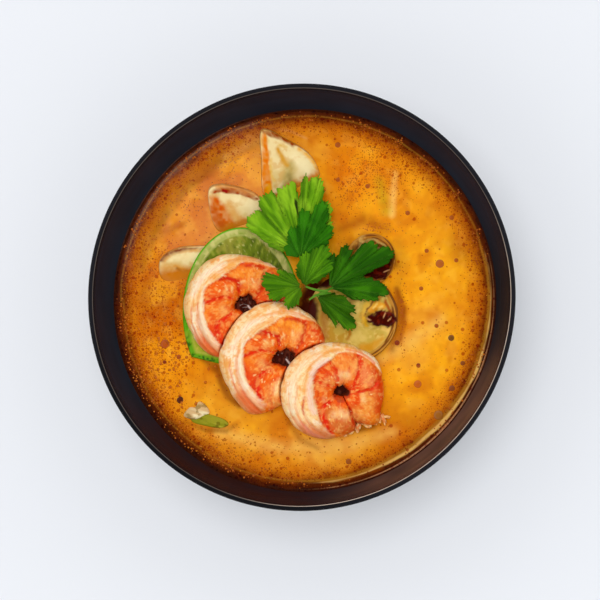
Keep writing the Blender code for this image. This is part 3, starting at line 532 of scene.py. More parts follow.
# What cooking leaves on each kind of curl: its band's inner edge, and marks as (colour, strength,
# softness, relief, route), the route in (degrees clockwise from +X, radius, half width) about the hollow
LOOKS = {
    "curl": {
        "hollow_shade": 4.2,
        "band": ((112, 20.8), (122, 20.2), (140, 19.5), (160, 18.7), (180, 18.2), (200, 19.0), (215, 17.2),
                 (230, 16.2), (240, 16.0), (252, 16.5), (265, 18.2), (297, 18.6), (311, 20.5), (330, 24)),
        "band_end": 311,
        "marks": (
            ("f6a86e", 0.9, 2.0, 0, ((66, 11, 6), (88, 13, 6), (104, 16, 6), (116, 15, 3))),
            ("ffeadb", 0.9, 1.6, 0.3, ((76, 9, 2.6), (96, 11, 3.0), (108, 13.5, 2.2))),
            ("e8401a", 0.85, 1.2, 0, ((124, 19.6, 1.6), (136, 18, 2.4), (150, 16.4, 2.4), (166, 15.4, 1.4))),
            ("f08a3c", 0.7, 2.0, 0, ((160, 13, 3.4), (178, 13, 3.4))),
            ("f6c79a", 0.6, 1.6, 0.1, ((162, 10, 2.0), (172, 10.5, 1.6))),
            ("ea6424", 0.7, 2.0, 0, ((198, 13, 3.4), (214, 12, 3.2), (226, 11, 2.4))),
            ("f5b98a", 0.6, 1.2, 0.15, ((203, 10, 1.3), (214, 10.3, 1.3))),
            ("f6a648", 0.75, 2.0, 0.2, ((250, 13.6, 2.6), (272, 14, 2.6), (290, 14, 2.2))),
            ("f2934c", 0.6, 2.2, 0, ((262, 9, 2.4), (284, 9, 2.6))),
            ("f8c79c", 0.6, 1.3, 0.1, ((294, 9.5, 1.8), (300, 13, 1.4))),
            ("ea6c34", 0.75, 2.4, 0, ((318, 12, 3.2), (345, 12, 3.4))),
            ("e8401a", 0.7, 1.4, 0, ((312, 17, 1.4), (330, 17, 2.0), (352, 16, 2.2))),
            ("fbe3c8", 0.85, 0.5, 0.2, ((225, 8.4, 0.4), (233, 9.8, 0.5))),
            ("fbe3c8", 0.8, 0.5, 0.2, ((219, 10.4, 0.4), (222, 12.4, 0.4))),
            ("fbe3c8", 0.8, 0.5, 0.2, ((250, 8.7, 0.5), (258, 9.8, 0.4), (265, 10.5, 0.4))),
            ("fff0dc", 0.8, 0.5, 0.2, ((281, 11.8, 0.4), (287, 10.4, 0.4))),
            ("d52a0c", 0.9, 0.6, -0.5, ((270, 17.0, 0.6), (284, 17.2, 0.7), (297, 17.0, 0.6))),
            ("ee6a2c", 0.5, 0.6, -0.3, ((108, 22, 0.4), (112, 17, 0.5), (118, 12, 0.4))),
            ("e6260a", 0.95, 0.6, -1.0, ((122, 21.0, 0.5), (136, 17.6, 0.8), (150, 14, 0.8), (149, 8, 0.6))),
            ("e6260a", 0.9, 0.5, -0.9, ((184, 17.9, 0.7), (190, 14.5, 0.6), (196, 12, 0.5), (206, 6.6, 0.4))),
            ("d41e08", 0.95, 0.6, -1.1,
             ((225, 16.4, 0.8), (237, 13, 0.9), (250, 10.7, 0.8), (242, 6.5, 0.6))),
            ("d0380f", 0.85, 0.7, -0.9,
             ((299, 17.4, 0.7), (302, 14.5, 0.7), (312, 10, 0.7), (317, 5.5, 0.6))),
            ("e63a10", 0.7, 0.9, -0.6, ((344, 17.4, 0.7), (348, 12, 0.8), (352, 6, 0.7))),
        ),
        "band_marks": (
            ("e98452", 0.65, 0.9, -0.5,
             ((112, 25.4, 0.5), (122, 24.5, 0.7), (140, 23.4, 0.8), (182, 20.8, 0.3))),
            ("dc4f26", 0.7, 0.5, -0.4, ((112, 25.2, 0.4), (122, 24.5, 0.5), (144, 23.2, 0.4))),
            ("e87040", 0.8, 0.4, -0.3,
             ((116, 26.6, 0.3), (130, 25.9, 0.4), (152, 25.0, 0.35), (178, 24.0, 0.2))),
            ("ec8248", 0.75, 0.4, -0.3,
             ((118, 22.8, 0.35), (140, 21.6, 0.4), (165, 20.8, 0.35), (192, 21.0, 0.2))),
            ("f5a448", 0.75, 0.35, -0.2,
             ((192, 22.8, 0.3), (220, 21.6, 0.35), (250, 20.6, 0.35), (282, 20.2, 0.2))),
            ("f2a04a", 0.7, 0.35, -0.2, ((196, 20.6, 0.3), (216, 19.2, 0.35), (240, 18.4, 0.3))),
            ("f3b58c", 0.6, 1.5, 0, ((120, 25.6, 1.4), (150, 24.6, 1.3))),
            ("fff6e4", 0.8, 1.0, 0.3,
             ((124, 22.0, 0.9), (150, 20.6, 1.0), (182, 19.2, 0.7), (205, 19.6, 0.4))),
            ("fffaf0", 0.7, 1.4, 0.2, ((190, 23.4, 1.0), (222, 21.6, 1.3), (240, 19.8, 0.8))),
            ("f2a23e", 0.7, 0.7, -0.2, ((214, 18.2, 0.4), (235, 17.4, 0.6), (252, 18.0, 0.9))),
            ("f09a52", 0.6, 0.6, -0.3, ((246, 20.2, 0.4), (268, 19.6, 0.5), (296, 18.8, 0.5))),
            ("e8723c", 0.5, 0.5, -0.2, ((262, 21.2, 0.3), (285, 19.9, 0.4), (305, 19.4, 0.4))),
            ("e86c2a", 0.85, 3.0, 0, ((104, 25, 4.4), (122, 25, 4.2), (140, 25.4, 2.4))),
            ("fccca0", 0.7, 0.6, 0.2, ((114, 23.4, 0.5), (126, 22.4, 0.7), (142, 21.2, 0.6))),
        ),
    },
    "open": {
        "hollow_shade": 2.9,
        "band": ((98, 17.6), (106, 17.5), (125, 15.2), (147, 12.6), (180, 12.0), (200, 12.7), (212, 14.2),
                 (245, 14.5), (265, 17.0), (272, 17.7), (292, 18.0), (320, 18.6), (345, 19.4)),
        "band_end": 348,
        "marks": (
            ("d07c46", 0.8, 2.4, 0, ((70, 11, 5), (95, 11, 5), (120, 10, 4))),
            ("f8d4c0", 0.85, 1.4, 0.2, ((82, 9, 1.8), (98, 8.6, 2.2), (112, 9.4, 1.6))),
            ("e6260a", 0.85, 0.5, -0.3, ((63, 4, 0.4), (66, 9, 0.4), (72, 15, 0.4))),
            ("ee7830", 0.7, 2.0, 0, ((150, 10, 2.0), (200, 10.5, 2.0))),
            ("f8d0b4", 0.75, 0.9, 0.15, ((156, 8, 0.8), (166, 8.2, 0.7))),
            ("e95a20", 0.7, 2.0, 0, ((210, 11, 3.0), (248, 10.5, 3.0))),
            ("f6c096", 0.7, 1.2, 0.15, ((208, 8.4, 1.0), (220, 8.6, 1.0))),
            ("f2a462", 0.7, 2.2, 0.1, ((262, 13, 2.6), (288, 13, 2.8))),
            ("fbe0d0", 0.8, 1.6, 0.25, ((260, 7.6, 1.6), (282, 8.2, 1.8))),
            ("f2a184", 0.7, 2.2, 0.1, ((305, 12, 2.8), (338, 12, 3.0))),
            ("da2f12", 0.8, 1.3, -0.2, ((324, 16.8, 1.4), (338, 16.8, 1.6), (348, 16.2, 1.2))),
            ("e85022", 0.75, 1.6, 0, ((358, 16.6, 1.8), (385, 17, 1.8))),
            ("f4aa5c", 0.75, 2.0, 0.1, ((360, 11, 2.8), (385, 12, 3.0), (405, 12, 2.6))),
            ("fbe3c8", 0.8, 1.0, 0.2, ((360, 8.6, 0.9), (380, 9.2, 0.9))),
            ("e6260a", 0.95, 0.6, -1.0,
             ((106, 17.4, 0.6), (122, 14, 1.0), (137, 12, 1.0), (147, 9, 0.8), (150, 4.6, 0.6))),
            ("d03a12", 0.8, 0.5, -0.4, ((158, 11.6, 0.4), (178, 10.4, 0.4), (198, 10.8, 0.3))),
            ("e63a10", 0.8, 0.5, -0.8, ((202, 12, 0.6), (210, 8, 0.6), (216, 5, 0.5))),
            ("e63a10", 0.85, 0.5, -0.8, ((250, 14.6, 0.6), (255, 10, 0.6), (257, 6, 0.5))),
            ("e62e0c", 0.85, 0.5, -0.9,
             ((294, 17.4, 0.6), (302, 14, 0.6), (308, 10.5, 0.6), (318, 7.2, 0.5), (332, 5, 0.4))),
            ("e62e0c", 0.85, 0.5, -0.9, ((344, 15, 0.6), (352, 12.2, 0.6), (353, 7, 0.5))),
            ("d2401a", 0.7, 0.6, -0.4, ((62, 17, 0.6), (70, 12, 0.8), (64, 7, 0.6))),
        ),
        "band_marks": (
            ("f1b9a4", 0.6, 1.0, -0.1, ((122, 20.6, 1.2), (138, 21.8, 1.2), (152, 22.4, 0.8))),
            ("e98452", 0.6, 0.7, -0.4,
             ((112, 19.4, 0.5), (126, 19.2, 0.5), (142, 18.6, 0.6), (150, 18.2, 0.4))),
            ("ee8a50", 0.75, 0.4, -0.3,
             ((122, 21.2, 0.3), (140, 21.0, 0.4), (165, 20.2, 0.35), (190, 19.0, 0.2))),
            ("f08c54", 0.7, 0.4, -0.3, ((128, 22.8, 0.3), (150, 23.2, 0.35), (180, 22.8, 0.2))),
            ("f5a848", 0.75, 0.35, -0.2,
             ((190, 21.4, 0.3), (215, 20.2, 0.35), (245, 18.9, 0.3), (272, 18.2, 0.2))),
            ("d2300e", 0.9, 0.4, -0.3, ((152, 18.2, 0.3), (164, 17.4, 0.35), (176, 16.2, 0.3))),
            ("f2a040", 0.8, 0.5, -0.4,
             ((180, 16.2, 0.4), (200, 16.5, 0.4), (215, 17.7, 0.5), (240, 18.2, 0.5), (265, 19.0, 0.4))),
            ("f7d9cf", 0.85, 0.8, 0.25, ((147, 14.2, 1.2), (180, 13.8, 1.3), (212, 15.0, 1.1))),
            ("f7dcd4", 0.85, 0.6, 0.3, ((213, 15.8, 1.0), (230, 15.7, 1.1), (246, 15.8, 0.8))),
            ("dd4420", 0.75, 0.4, -0.3, ((212, 14.4, 0.35), (228, 14.5, 0.35), (246, 14.6, 0.3))),
            ("fff6e0", 0.7, 1.6, 0.2, ((160, 21.6, 1.2), (200, 21, 1.3), (240, 19.8, 0.8))),
            ("f5b45e", 0.6, 0.5, -0.1, ((225, 20.6, 0.4), (250, 19.6, 0.5), (270, 18.8, 0.5))),
            ("e9562a", 0.6, 0.5, -0.2, ((276, 18.6, 0.5), (295, 18.8, 0.4), (318, 18.4, 0.6))),
            ("e07234", 0.8, 3.0, 0, ((102, 19, 4.0), (120, 20.4, 4.0), (138, 22.0, 2.2))),
            ("ee9a8a", 0.6, 0.5, -0.1, ((112, 20.6, 0.5), (130, 21.0, 0.6), (146, 21.0, 0.4))),
        ),
    },
}


def through(stations, at):
    """Values at places on a smooth curve through (place, value) stations."""
    places, values = (np.array(column, float) for column in zip(*stations))
    last = len(places) - 1
    i = np.clip(np.searchsorted(places, at, side="right") - 1, 0, last - 1)
    before, after = np.maximum(i - 1, 0), np.minimum(i + 2, last)
    gap = places[i + 1] - places[i]
    slope0 = (values[i + 1] - values[before]) / (places[i + 1] - places[before])
    slope1 = (values[after] - values[i]) / (places[after] - places[i])
    f = np.clip((at - places[i]) / gap, 0, 1)
    bend = gap * f * (1 - f) * (slope0 * (1 - f) - slope1 * f)
    return values[i] + (values[i + 1] - values[i]) * f * f * (3 - 2 * f) + bend


def bump_at(offset, width):
    """1 at no offset, falling to 0 over about the width each way."""
    return np.exp(-((2 * offset / width) ** 2))


def leaning(points, tilt, heading, place):
    """The points with their flat top tilted down towards a heading, both in degrees, at a place."""
    turn = math.radians(heading)
    axis = Vector((-math.sin(turn), math.cos(turn), 0))
    turned = np.array(Matrix.Rotation(math.radians(tilt), 3, axis))
    return points @ turned.T + place


def globe(name, around_steps, along_steps):
    """A ball of a mesh, each point's share of the way from pole to pole, and its turn about that way.

    It starts with half the steps and is then subdivided, which is far quicker than a fine ball.
    """
    bm = bmesh.new()
    bmesh.ops.create_uvsphere(bm, u_segments=around_steps // 2, v_segments=along_steps // 2, radius=MM)
    bmesh.ops.subdivide_edges(bm, edges=bm.edges[:], cuts=1, use_grid_fill=True)
    mesh = meshed(name, bm)
    ball = points_of(mesh)
    return mesh, np.arccos(np.clip(ball[:, 2], -1, 1)) / np.pi, np.arctan2(ball[:, 1], ball[:, 0])


def clockwise_route(route, longest=8):
    """A route in (degrees clockwise, radius, half width) as (x, y, half width), in steps of few degrees."""
    made = []
    for (d0, r0, w0), (d1, r1, w1) in zip(route, route[1:]):
        count = max(1, math.ceil(abs(d1 - d0) / longest))
        for step in range(count + 1):
            f = step / count
            turn, radius = -math.radians(d0 + (d1 - d0) * f), r0 + (r1 - r0) * f
            made.append((radius * math.cos(turn), radius * math.sin(turn), w0 + (w1 - w0) * f))
    return made


def rounded_end(along):
    """From 0 at both ends of the way along to 1 between them, as round as a fingertip."""
    near = np.minimum(along, 1 - along) / END_ROUNDING
    return np.sqrt(np.clip(1 - (1 - np.minimum(near, 1)) ** 2, 0, 1))


def prawn_paint(look, turn, radius, flat, seed):
    """The curl's paint, the relief that goes with it, and how much of each point is the pale band."""
    arc = np.radians(turn) * BACK_RADIUS
    swayed = flat + 1.7 * np.column_stack([clouds(flat, 3.2, seed + 3), clouds(flat, 3.2, seed + 4)]) - 0.85
    paint = np.tile(linear("f27420"), (len(turn), 1))
    patches, mottle = clouds(flat, 6, seed + 1), clouds(flat, 1.7, seed + 2)
    lay(paint, "e2460e", 0.7 * eased((patches - 0.5) / 0.16))
    lay(paint, "f89a34", 0.8 * eased((0.48 - patches) / 0.14))
    relief = 0.5 * (clouds(flat, 3, seed) - 0.5)
    for colour, strength, soft, height, route in look["marks"]:
        path = clockwise_route(route)
        # Painted shade: a soft red round each deep crease
        if height < -0.6:
            lay(paint, "d8300c", 0.55 * stroke(swayed, path, 2.4))
        cover = stroke(swayed, path, soft)
        lay(paint, colour, strength * cover)
        relief += height * cover
    lay(paint, "fac086", 0.5 * eased((mottle - 0.56) / 0.1))
    lay(paint, "ffd9a0", 0.3 * eased((noise(flat, 0.8, seed + 13) - 0.7) / 0.12))
    lay(paint, "d8300c", 0.25 * eased((0.26 - noise(flat, 0.9, seed + 14)) / 0.1))
    lay(paint, "d8440f", 0.35 * eased((0.4 - mottle) / 0.1))
    relief += 0.35 * (mottle - 0.5)
    # Painted glints: small highlights on the wet flesh
    glints = noise(flat, 1.0, seed + 5) * eased((clouds(flat, 5, seed + 12) - 0.45) / 0.1)
    lay(paint, "fff0dc", 0.75 * eased((glints - 0.86) / 0.06))

    edge = through(look["band"], turn)
    ragged = 1.3 * (clouds(np.column_stack([arc / 4, radius / 8]), 1, seed + 6) - 0.5)
    band = eased((radius - edge + ragged + 0.3) / 0.6) * eased((look["band_end"] - turn) / 6)
    band = band * eased((turn - look["band"][0][0]) / 5)
    strands = noise(np.column_stack([arc / 16, radius / 1.9]), 1, seed + 7)
    fibres = noise(np.column_stack([arc / 5, radius / 0.8]), 1, seed + 8)
    band_paint = np.tile(linear("fde6b8"), (len(turn), 1))
    lay(band_paint, "fbd092", 0.7 * eased((strands - 0.52) / 0.16))
    lay(band_paint, "fffaee", 0.6 * eased((clouds(flat, 5, seed + 9) - 0.5) / 0.14))
    lay(band_paint, "f4a446", 0.6 * eased((fibres - 0.66) / 0.14))
    lay(band_paint, "f4aa4e", 0.55 * eased((clouds(flat, 1.5, seed + 10) - 0.58) / 0.06))
    lay(band_paint, "f8aa30", 0.5 * eased((noise(flat, 0.8, seed + 15) - 0.74) / 0.1))
    band_relief = 0.6 + 0.7 * (strands - 0.5) + 0.3 * (fibres - 0.5)
    for colour, strength, soft, height, route in look["band_marks"]:
        cover = stroke(0.6 * swayed + 0.4 * flat, clockwise_route(route), soft)
        lay(band_paint, colour, strength * cover)
        band_relief = band_relief + 1.3 * height * cover
    # A warm tint that paints in warm light on the food, a paler one on the band
    paint *= (0.97, 0.8, 0.42)
    band_paint *= (0.94, 0.86, 0.72)
    paint += band[:, None] * (band_paint - paint)
    relief += band * (band_relief - relief)
    relief -= 0.6 * bump_at(radius - edge + 0.4, 1.2) * eased((look["band_end"] - turn) / 6)

    # Painted shade in and round the hollow: deep red, then near black towards it
    lean = math.radians(25)
    long_way, short_way = flat @ (math.cos(lean), math.sin(lean)), flat @ (-math.sin(lean), math.cos(lean))
    across = np.hypot(long_way / 1.2, short_way / 0.85)
    across += 2.6 * (noise(flat, 2.0, seed + 11) - 0.5)
    lay(paint, "b8300e", 0.75 * eased(look["hollow_shade"] + 1.1 - across))
    lay(paint, "4a1a0c", eased((look["hollow_shade"] - 0.2 - across) / 0.8))
    return paint, relief, band


def prawn_points(prawn, along, around):
    """The curl's points about its middle, before its relief, and each point's turn."""
    turn = prawn["start"] + (prawn["end"] - prawn["start"]) * along
    outer = through(prawn["edge"], turn)
    waves = 0.2 * np.cos(np.radians(2 * turn + 50)) + 0.1 * np.sin(np.radians(5 * turn + 20))
    inner = prawn["hollow"] * (0.86 + waves)
    crease = sum(bump_at(turn - place, 9) for place in CREASES) * 0.9
    sides = 1 - 0.75 * np.clip(np.sin(around), 0, 1)
    share = rounded_end(along)
    half_width = ((outer - inner) / 2 - crease * sides / 2) * share
    half_height = (PRAWN_HALF_HEIGHT * (1 - TAIL_TAPER * along) - crease * sides) * share
    out = np.sign(np.cos(around)) * np.abs(np.cos(around)) ** SECTION_POWER
    up = np.sign(np.sin(around)) * np.abs(np.sin(around)) ** SECTION_POWER
    radius = (outer + inner) / 2 + out * half_width
    angle = -np.radians(turn)
    points = np.column_stack([radius * np.cos(angle), radius * np.sin(angle), up * half_height])
    return points, turn


def depth_under(points, prawn):
    """How far each point is inside the prawn's outer edge, seen from above."""
    away = points[:, :2] - prawn["place"][:2]
    turn = np.degrees(-np.arctan2(away[:, 1], away[:, 0])) % 360
    turn = np.where(turn < prawn["start"], turn + 360, turn)
    return through(prawn["edge"], turn) - np.hypot(away[:, 0], away[:, 1])


def sunk_under(points, upper):
    """Presses the points down where the prawn above lies on them."""
    over = np.maximum(points[:, 2] - (upper["place"][2] - 1.8), 0)
    points[:, 2] -= over * eased((depth_under(points, upper) + 0.6) / 1.4)


def food_finish(name, grain, grain_height, inputs, wet_roughness=0.16, dry_roughness=0.42, fibre_tint=None):
    """A painted material of moist food: its grain's size in mm, and its gloss where it is wet.

    A fibre tint darkens fine streaks that run along the mesh's "fibres" attribute.
    """
    material, nodes, shader = new_finish(name, inputs)
    place = add(nodes, "ShaderNodeTexCoord", {}).outputs["Object"]
    colour = add(nodes, "ShaderNodeAttribute", {}, attribute_name="paint")
    base = colour.outputs["Color"]
    if fibre_tint:
        way = add(nodes, "ShaderNodeAttribute", {}, attribute_name="fibres")
        streaks = add(nodes, "ShaderNodeTexNoise", {"Vector": way.outputs["Vector"], "Scale": 1, "Detail": 3})
        share = add(
            nodes,
            "ShaderNodeMapRange",
            {"Value": streaks.outputs["Fac"], "From Min": 0.5, "From Max": 0.72, "To Max": 0.6},
        )
        base = multiplied(nodes, share.outputs["Result"], base, fibre_tint)
    link(base, shader.inputs["Base Color"])
    fine = add(nodes, "ShaderNodeTexNoise", {"Vector": place, "Scale": 1 / (grain * MM), "Detail": 4})
    bump = add(
        nodes,
        "ShaderNodeBump",
        {"Height": fine.outputs["Fac"], "Strength": 0.6, "Distance": grain_height * MM},
    )
    link(bump.outputs["Normal"], shader.inputs["Normal"])
    gloss = add(
        nodes,
        "ShaderNodeMapRange",
        {"Value": colour.outputs["Alpha"], "To Min": dry_roughness, "To Max": wet_roughness},
    )
    link(gloss.outputs["Result"], shader.inputs["Roughness"])
    return material


# Cooked prawn flesh: firm wet muscle, which lets a little light in and glints along its fibres
cooked_flesh = food_finish(
    "cooked_prawn_flesh",
    1.1,
    0.4,
    {
        "IOR": 1.38,
        "Specular IOR Level": 0.25,
        "Subsurface Weight": 0.06,
        "Subsurface Radius": (0.003, 0.0012, 0.0006),
        "Subsurface Scale": 1.0,
    },
    fibre_tint="f6bc84",
)

prawn_pieces = []
for i, prawn in enumerate(PRAWNS):
    mesh, along, around = globe(f"prawn_curl_{i + 1}", PRAWN_AROUND, PRAWN_ALONG)
    points, turn = prawn_points(prawn, along, around)
    flat = points[:, :2] - prawn["shift"]
    seen_turn = np.degrees(-np.arctan2(flat[:, 1], flat[:, 0]))
    seen_turn = turn + (seen_turn - turn + 180) % 360 - 180
    radius = np.hypot(flat[:, 0], flat[:, 1])
    paint, relief, band = prawn_paint(LOOKS[prawn["look"]], seen_turn, radius, flat, 40 + 20 * i)
    arc = np.radians(seen_turn) * BACK_RADIUS
    along_band = np.column_stack([arc / 3.4, radius / 0.45])
    across_band = np.column_stack([arc / 0.9, radius / 1.3])
    way = across_band + (along_band - across_band) * (band[:, None] > 0.5)
    fibres = mesh.attributes.new("fibres", "FLOAT_VECTOR", "POINT")
    fibres.data.foreach_set("vector", np.column_stack([way, np.zeros(len(way))]).astype(np.float32).ravel())
    points[:, 2] += relief * np.sqrt(np.clip(np.sin(around), 0, 1)) * rounded_end(along)
    points = leaning(points, prawn["tilt"], prawn["heading"], prawn["place"])
    for upper in PRAWNS[i + 1 : i + 2]:
        sunk_under(points, upper)
    moved(mesh, points)
    painted(mesh, paint, np.clip(0.55 + 0.9 * (noise(points, 2.2, 90 + i) - 0.5), 0, 1))
    faced_out(mesh)
    prawn_pieces.append(finished(f"prawn_curl_{i + 1}", mesh, cooked_flesh, "cooked_prawn", f"prawn_{i + 1}"))

# Chilli oil: clear red oil that looks dark where it is thick, with a bright wet surface
chilli_oil = food_finish("chilli_oil", 2.0, 0.02, {"IOR": 1.47}, 0.05, 0.2)
POOL_AROUND, POOL_ALONG = 64, 32
# Dark pools of chilli oil in the curls' hollows, which also stand in for the hollows' shade; their lighter
# streaks and the pale glint in the closed curls are painted highlights
for i, prawn in enumerate(PRAWNS):
    mesh, _, _ = globe(f"oil_and_shade_in_curl_{i + 1}", POOL_AROUND, POOL_ALONG)
    pool = points_of(mesh) * (prawn["hollow"] + 1.6, prawn["hollow"] + 1.6, 0.5)
    x, y, z = prawn["place"]
    pool[:, 2] += 0.25 * (noise(pool[:, :2], 1.8, 70 + i) - 0.5)
    moved(mesh, pool + (x + prawn["shift"][0] * 0.5, y + prawn["shift"][1] * 0.5, z - 1.4))
    paint = np.tile(linear("401208"), (len(pool), 1))
    lay(paint, "7a3c28", 0.5 * eased((noise(pool[:, :2] * (1.6, 0.6), 1, 74 + i) - 0.55) / 0.2))
    if prawn["look"] == "curl":
        lay(paint, "f0dcd4", 0.9 * stroke(pool[:, :2], ((0.8, -0.8, 0.3), (2.4, -2.8, 0.4)), 0.3))
    painted(mesh, paint, np.ones(len(pool)))
    faced_out(mesh)
    finished(f"oil_and_shade_in_curl_{i + 1}", mesh, chilli_oil, "tom_yum_broth")

# The cut end of the open curl's tail frays into soft pale shards, from left to right
SHARDS = (
    (17.4, -57.6), (20.2, -56.9), (23.4, -54.6), (25.4, -53.4), (27.2, -54.2),
    (28.8, -53.0), (30.6, -53.0), (32.4, -51.8), (34.4, -51.6), (36.0, -50.8),
)
SHARD_TINTS = ("f2a052", "f4b878", "ee8238")
SHARD_STEPS = 30
for i, (x, y) in enumerate(SHARDS):
    mesh, _, _ = globe(f"tail_shard_{i + 1}", SHARD_STEPS, SHARD_STEPS)
    ball = points_of(mesh)
    lumpy = 1 + 1.3 * (noise(ball * 1.6, 1, 300 + i) - 0.5)
    shape = ball * lumpy[:, None] * (1.7 + 0.5 * math.sin(i * 4.1), 0.9 + 0.3 * math.sin(i * 1.3), 1.0)
    turn = math.radians(-50) + 0.8 * math.sin(i * 2.3)
    spin = np.array(((math.cos(turn), math.sin(turn), 0), (-math.sin(turn), math.cos(turn), 0), (0, 0, 1)))
    paint = np.tile(linear("fbdcb0"), (len(shape), 1))
    lay(paint, SHARD_TINTS[i % 3], 0.8 * eased((noise(ball * 2, 0.8, 320 + i) - 0.4) / 0.2))
    moved(mesh, shape @ spin + (x, y, 51.0 + 0.7 * math.sin(i * 1.7)))
    painted(mesh, paint, np.full(len(paint), 0.4), (0.96, 0.86, 0.6))
    faced_out(mesh)
    finished(f"tail_shard_{i + 1}", mesh, cooked_flesh, "cooked_prawn")


# --- Lime ------------------------------------------------------------------------------------------
# A slice cut lengthwise through a lime, half under the first prawn: thin bright rind, a pale grey-green
# pith inside it, and wet olive pulp made of vesicles that run out from the middle.

LIME_CENTRE = (-26.4, -5.7, 50.6)
LIME_HALF_WIDTH, LIME_HALF_LENGTH = 25.5, 36.6
LIME_CUT, LIME_CUT_SLANT = -21.5, 0.25
LIME_THICKNESS = 5
LIME_TILT, LIME_HEADING = 6, -35
LIME_SUNK_TO = 48.5  # the height that it is pressed down to under the prawns
LIME_SPOKES, LIME_RINGS = 250, 124
TOP_SHARE, EDGE_SHARE = 0.44, 0.12  # of a flat piece's way from the middle of its top to that of its base


def flat_body(name, outline, thickness, spokes, rings, squareness=0.5):
    """A flat closed body: its mesh, its points, and each one's distance from the rim.

    The outline gives x and y for turns from 0 to 1, and the top is level at 0.
    """
    mesh, along, around = globe(name, spokes, rings)
    edge = outline((around / math.tau) % 1)
    reach = np.hypot(edge[:, 0], edge[:, 1])
    half = thickness / 2
    bend = np.pi / 2 - np.pi * np.clip((along - TOP_SHARE) / EDGE_SHARE, 0, 1)
    flat_share = np.where(along < 0.5, along / TOP_SHARE, (1 - along) / TOP_SHARE)
    flat_share = np.minimum(flat_share, 1)
    past_rim = half * np.abs(np.cos(bend)) ** squareness * (flat_share >= 1)
    out = (reach - half) * flat_share + past_rim
    up = half * (np.sign(np.sin(bend)) * np.abs(np.sin(bend)) ** squareness - 1)
    points = np.column_stack([edge / reach[:, None] * out[:, None], up])
    return mesh, points, reach - out


def lime_outline(turns):
    """An oval with its near end cut off on a slant."""
    angle = turns * math.tau
    x, y = LIME_HALF_WIDTH * np.cos(angle), LIME_HALF_LENGTH * np.sin(angle)
    return np.column_stack([x, np.maximum(y, LIME_CUT - LIME_CUT_SLANT * (x + LIME_HALF_WIDTH / 2))])


# Lime: wet pulp and waxy rind, both smooth enough to glint
lime_flesh = food_finish(
    "cut_lime",
    0.7,
    0.3,
    {
        "IOR": 1.38,
        "Specular IOR Level": 0.25,
        "Subsurface Weight": 0.1,
        "Subsurface Radius": (0.002, 0.003, 0.001),
        "Subsurface Scale": 1.0,
    },
    0.1,
    0.35,
)

mesh, points, from_rim = flat_body("lime_round", lime_outline, LIME_THICKNESS, LIME_SPOKES, LIME_RINGS)
flat = points[:, :2]
angle = np.arctan2(flat[:, 1], flat[:, 0])
reach = np.hypot(flat[:, 0], flat[:, 1])
paint = np.tile(linear("6f8a30"), (len(points), 1))
swayed_turn = angle + 0.12 * (clouds(flat, 5, 138) - 0.5)
vesicles = noise(np.column_stack([swayed_turn * 22, reach / 3.5]), 1, 130)
lay(paint, "4c6420", 0.7 * eased((0.45 - vesicles) / 0.25))
lay(paint, "a9bd62", 0.6 * eased((vesicles - 0.6) / 0.2))
lay(paint, "a8a860", 0.6 * eased((clouds(flat, 4, 139) - 0.5) / 0.12))
# Painted glints on the wet pulp
lay(paint, "f0f2d8", 0.5 * eased((noise(flat, 0.8, 133) - 0.8) / 0.08))
pith = eased((4.4 + 1.2 * (clouds(flat, 3, 131) - 0.5) - from_rim) / 0.8)
pith_paint = np.tile(linear("b4c490"), (len(points), 1))
pith_fibres = noise(np.column_stack([angle * 25 / 6, from_rim / 0.8]), 1, 132)
lay(pith_paint, "86a84c", 0.7 * eased((pith_fibres - 0.5) / 0.3))
lay(pith_paint, "dfe3cc", 0.7 * eased((clouds(flat, 2.6, 134) - 0.52) / 0.12))
paint += pith[:, None] * (pith_paint - paint)
low_left = eased((-8 - flat[:, 0]) / 6) * eased((10 - flat[:, 1]) / 14)
rind = 1.1 + 1.9 * low_left
lay(paint, "62c01a", eased((rind - from_rim) / 0.5))
pores = np.clip(0.35 + 0.5 * low_left, 0, 1) * eased((0.7 * rind - from_rim) / 0.6)
lay(paint, "3c8a10", pores * noise(points, 1.4, 135))
near_end = eased((-flat[:, 1] - 6) / 8) * eased((7.2 - from_rim) / 2.0)
lay(paint, "b4c84e", 0.8 * near_end)
lay(paint, "e0d878", 0.6 * near_end * eased((clouds(flat, 3, 140) - 0.5) / 0.1))
outer = eased((3.0 - from_rim) / 0.8) * near_end
lay(paint, "5cb416", 0.9 * outer)
outer_pores = 0.9 * outer * eased((noise(flat, 0.9, 136) - 0.56) / 0.12)
lay(paint, "1f5a0a", outer_pores * eased(2.4 - from_rim))
relief = 0.5 * (vesicles - 0.5) * (1 - pith) + 0.15 * (noise(flat, 2, 137) - 0.5)
points[:, 2] += relief * (points[:, 2] > -0.01)
points = leaning(points, LIME_TILT, LIME_HEADING, LIME_CENTRE)
for prawn in PRAWNS[:2]:
    over = np.clip(points[:, 2] - LIME_SUNK_TO, 0, None)
    points[:, 2] -= over * eased((depth_under(points, prawn) - 3) / 3)
moved(mesh, points)
painted(mesh, paint, 1 - 0.4 * pith, (0.86, 0.75, 0.34))
faced_out(mesh)
lime_piece = finished("lime_round", mesh, lime_flesh, "lime", "lime_slice")


# --- Mushroom slices -------------------------------------------------------------------------------
# Three slices of a large mushroom's cap, half sunk: cream flesh, stained ochre where broth has soaked
# in, with the cap's brown skin along the far edge.

SLICE_THICKNESS = 4.6
SLICE_SPOKES, SLICE_RINGS = 180, 80
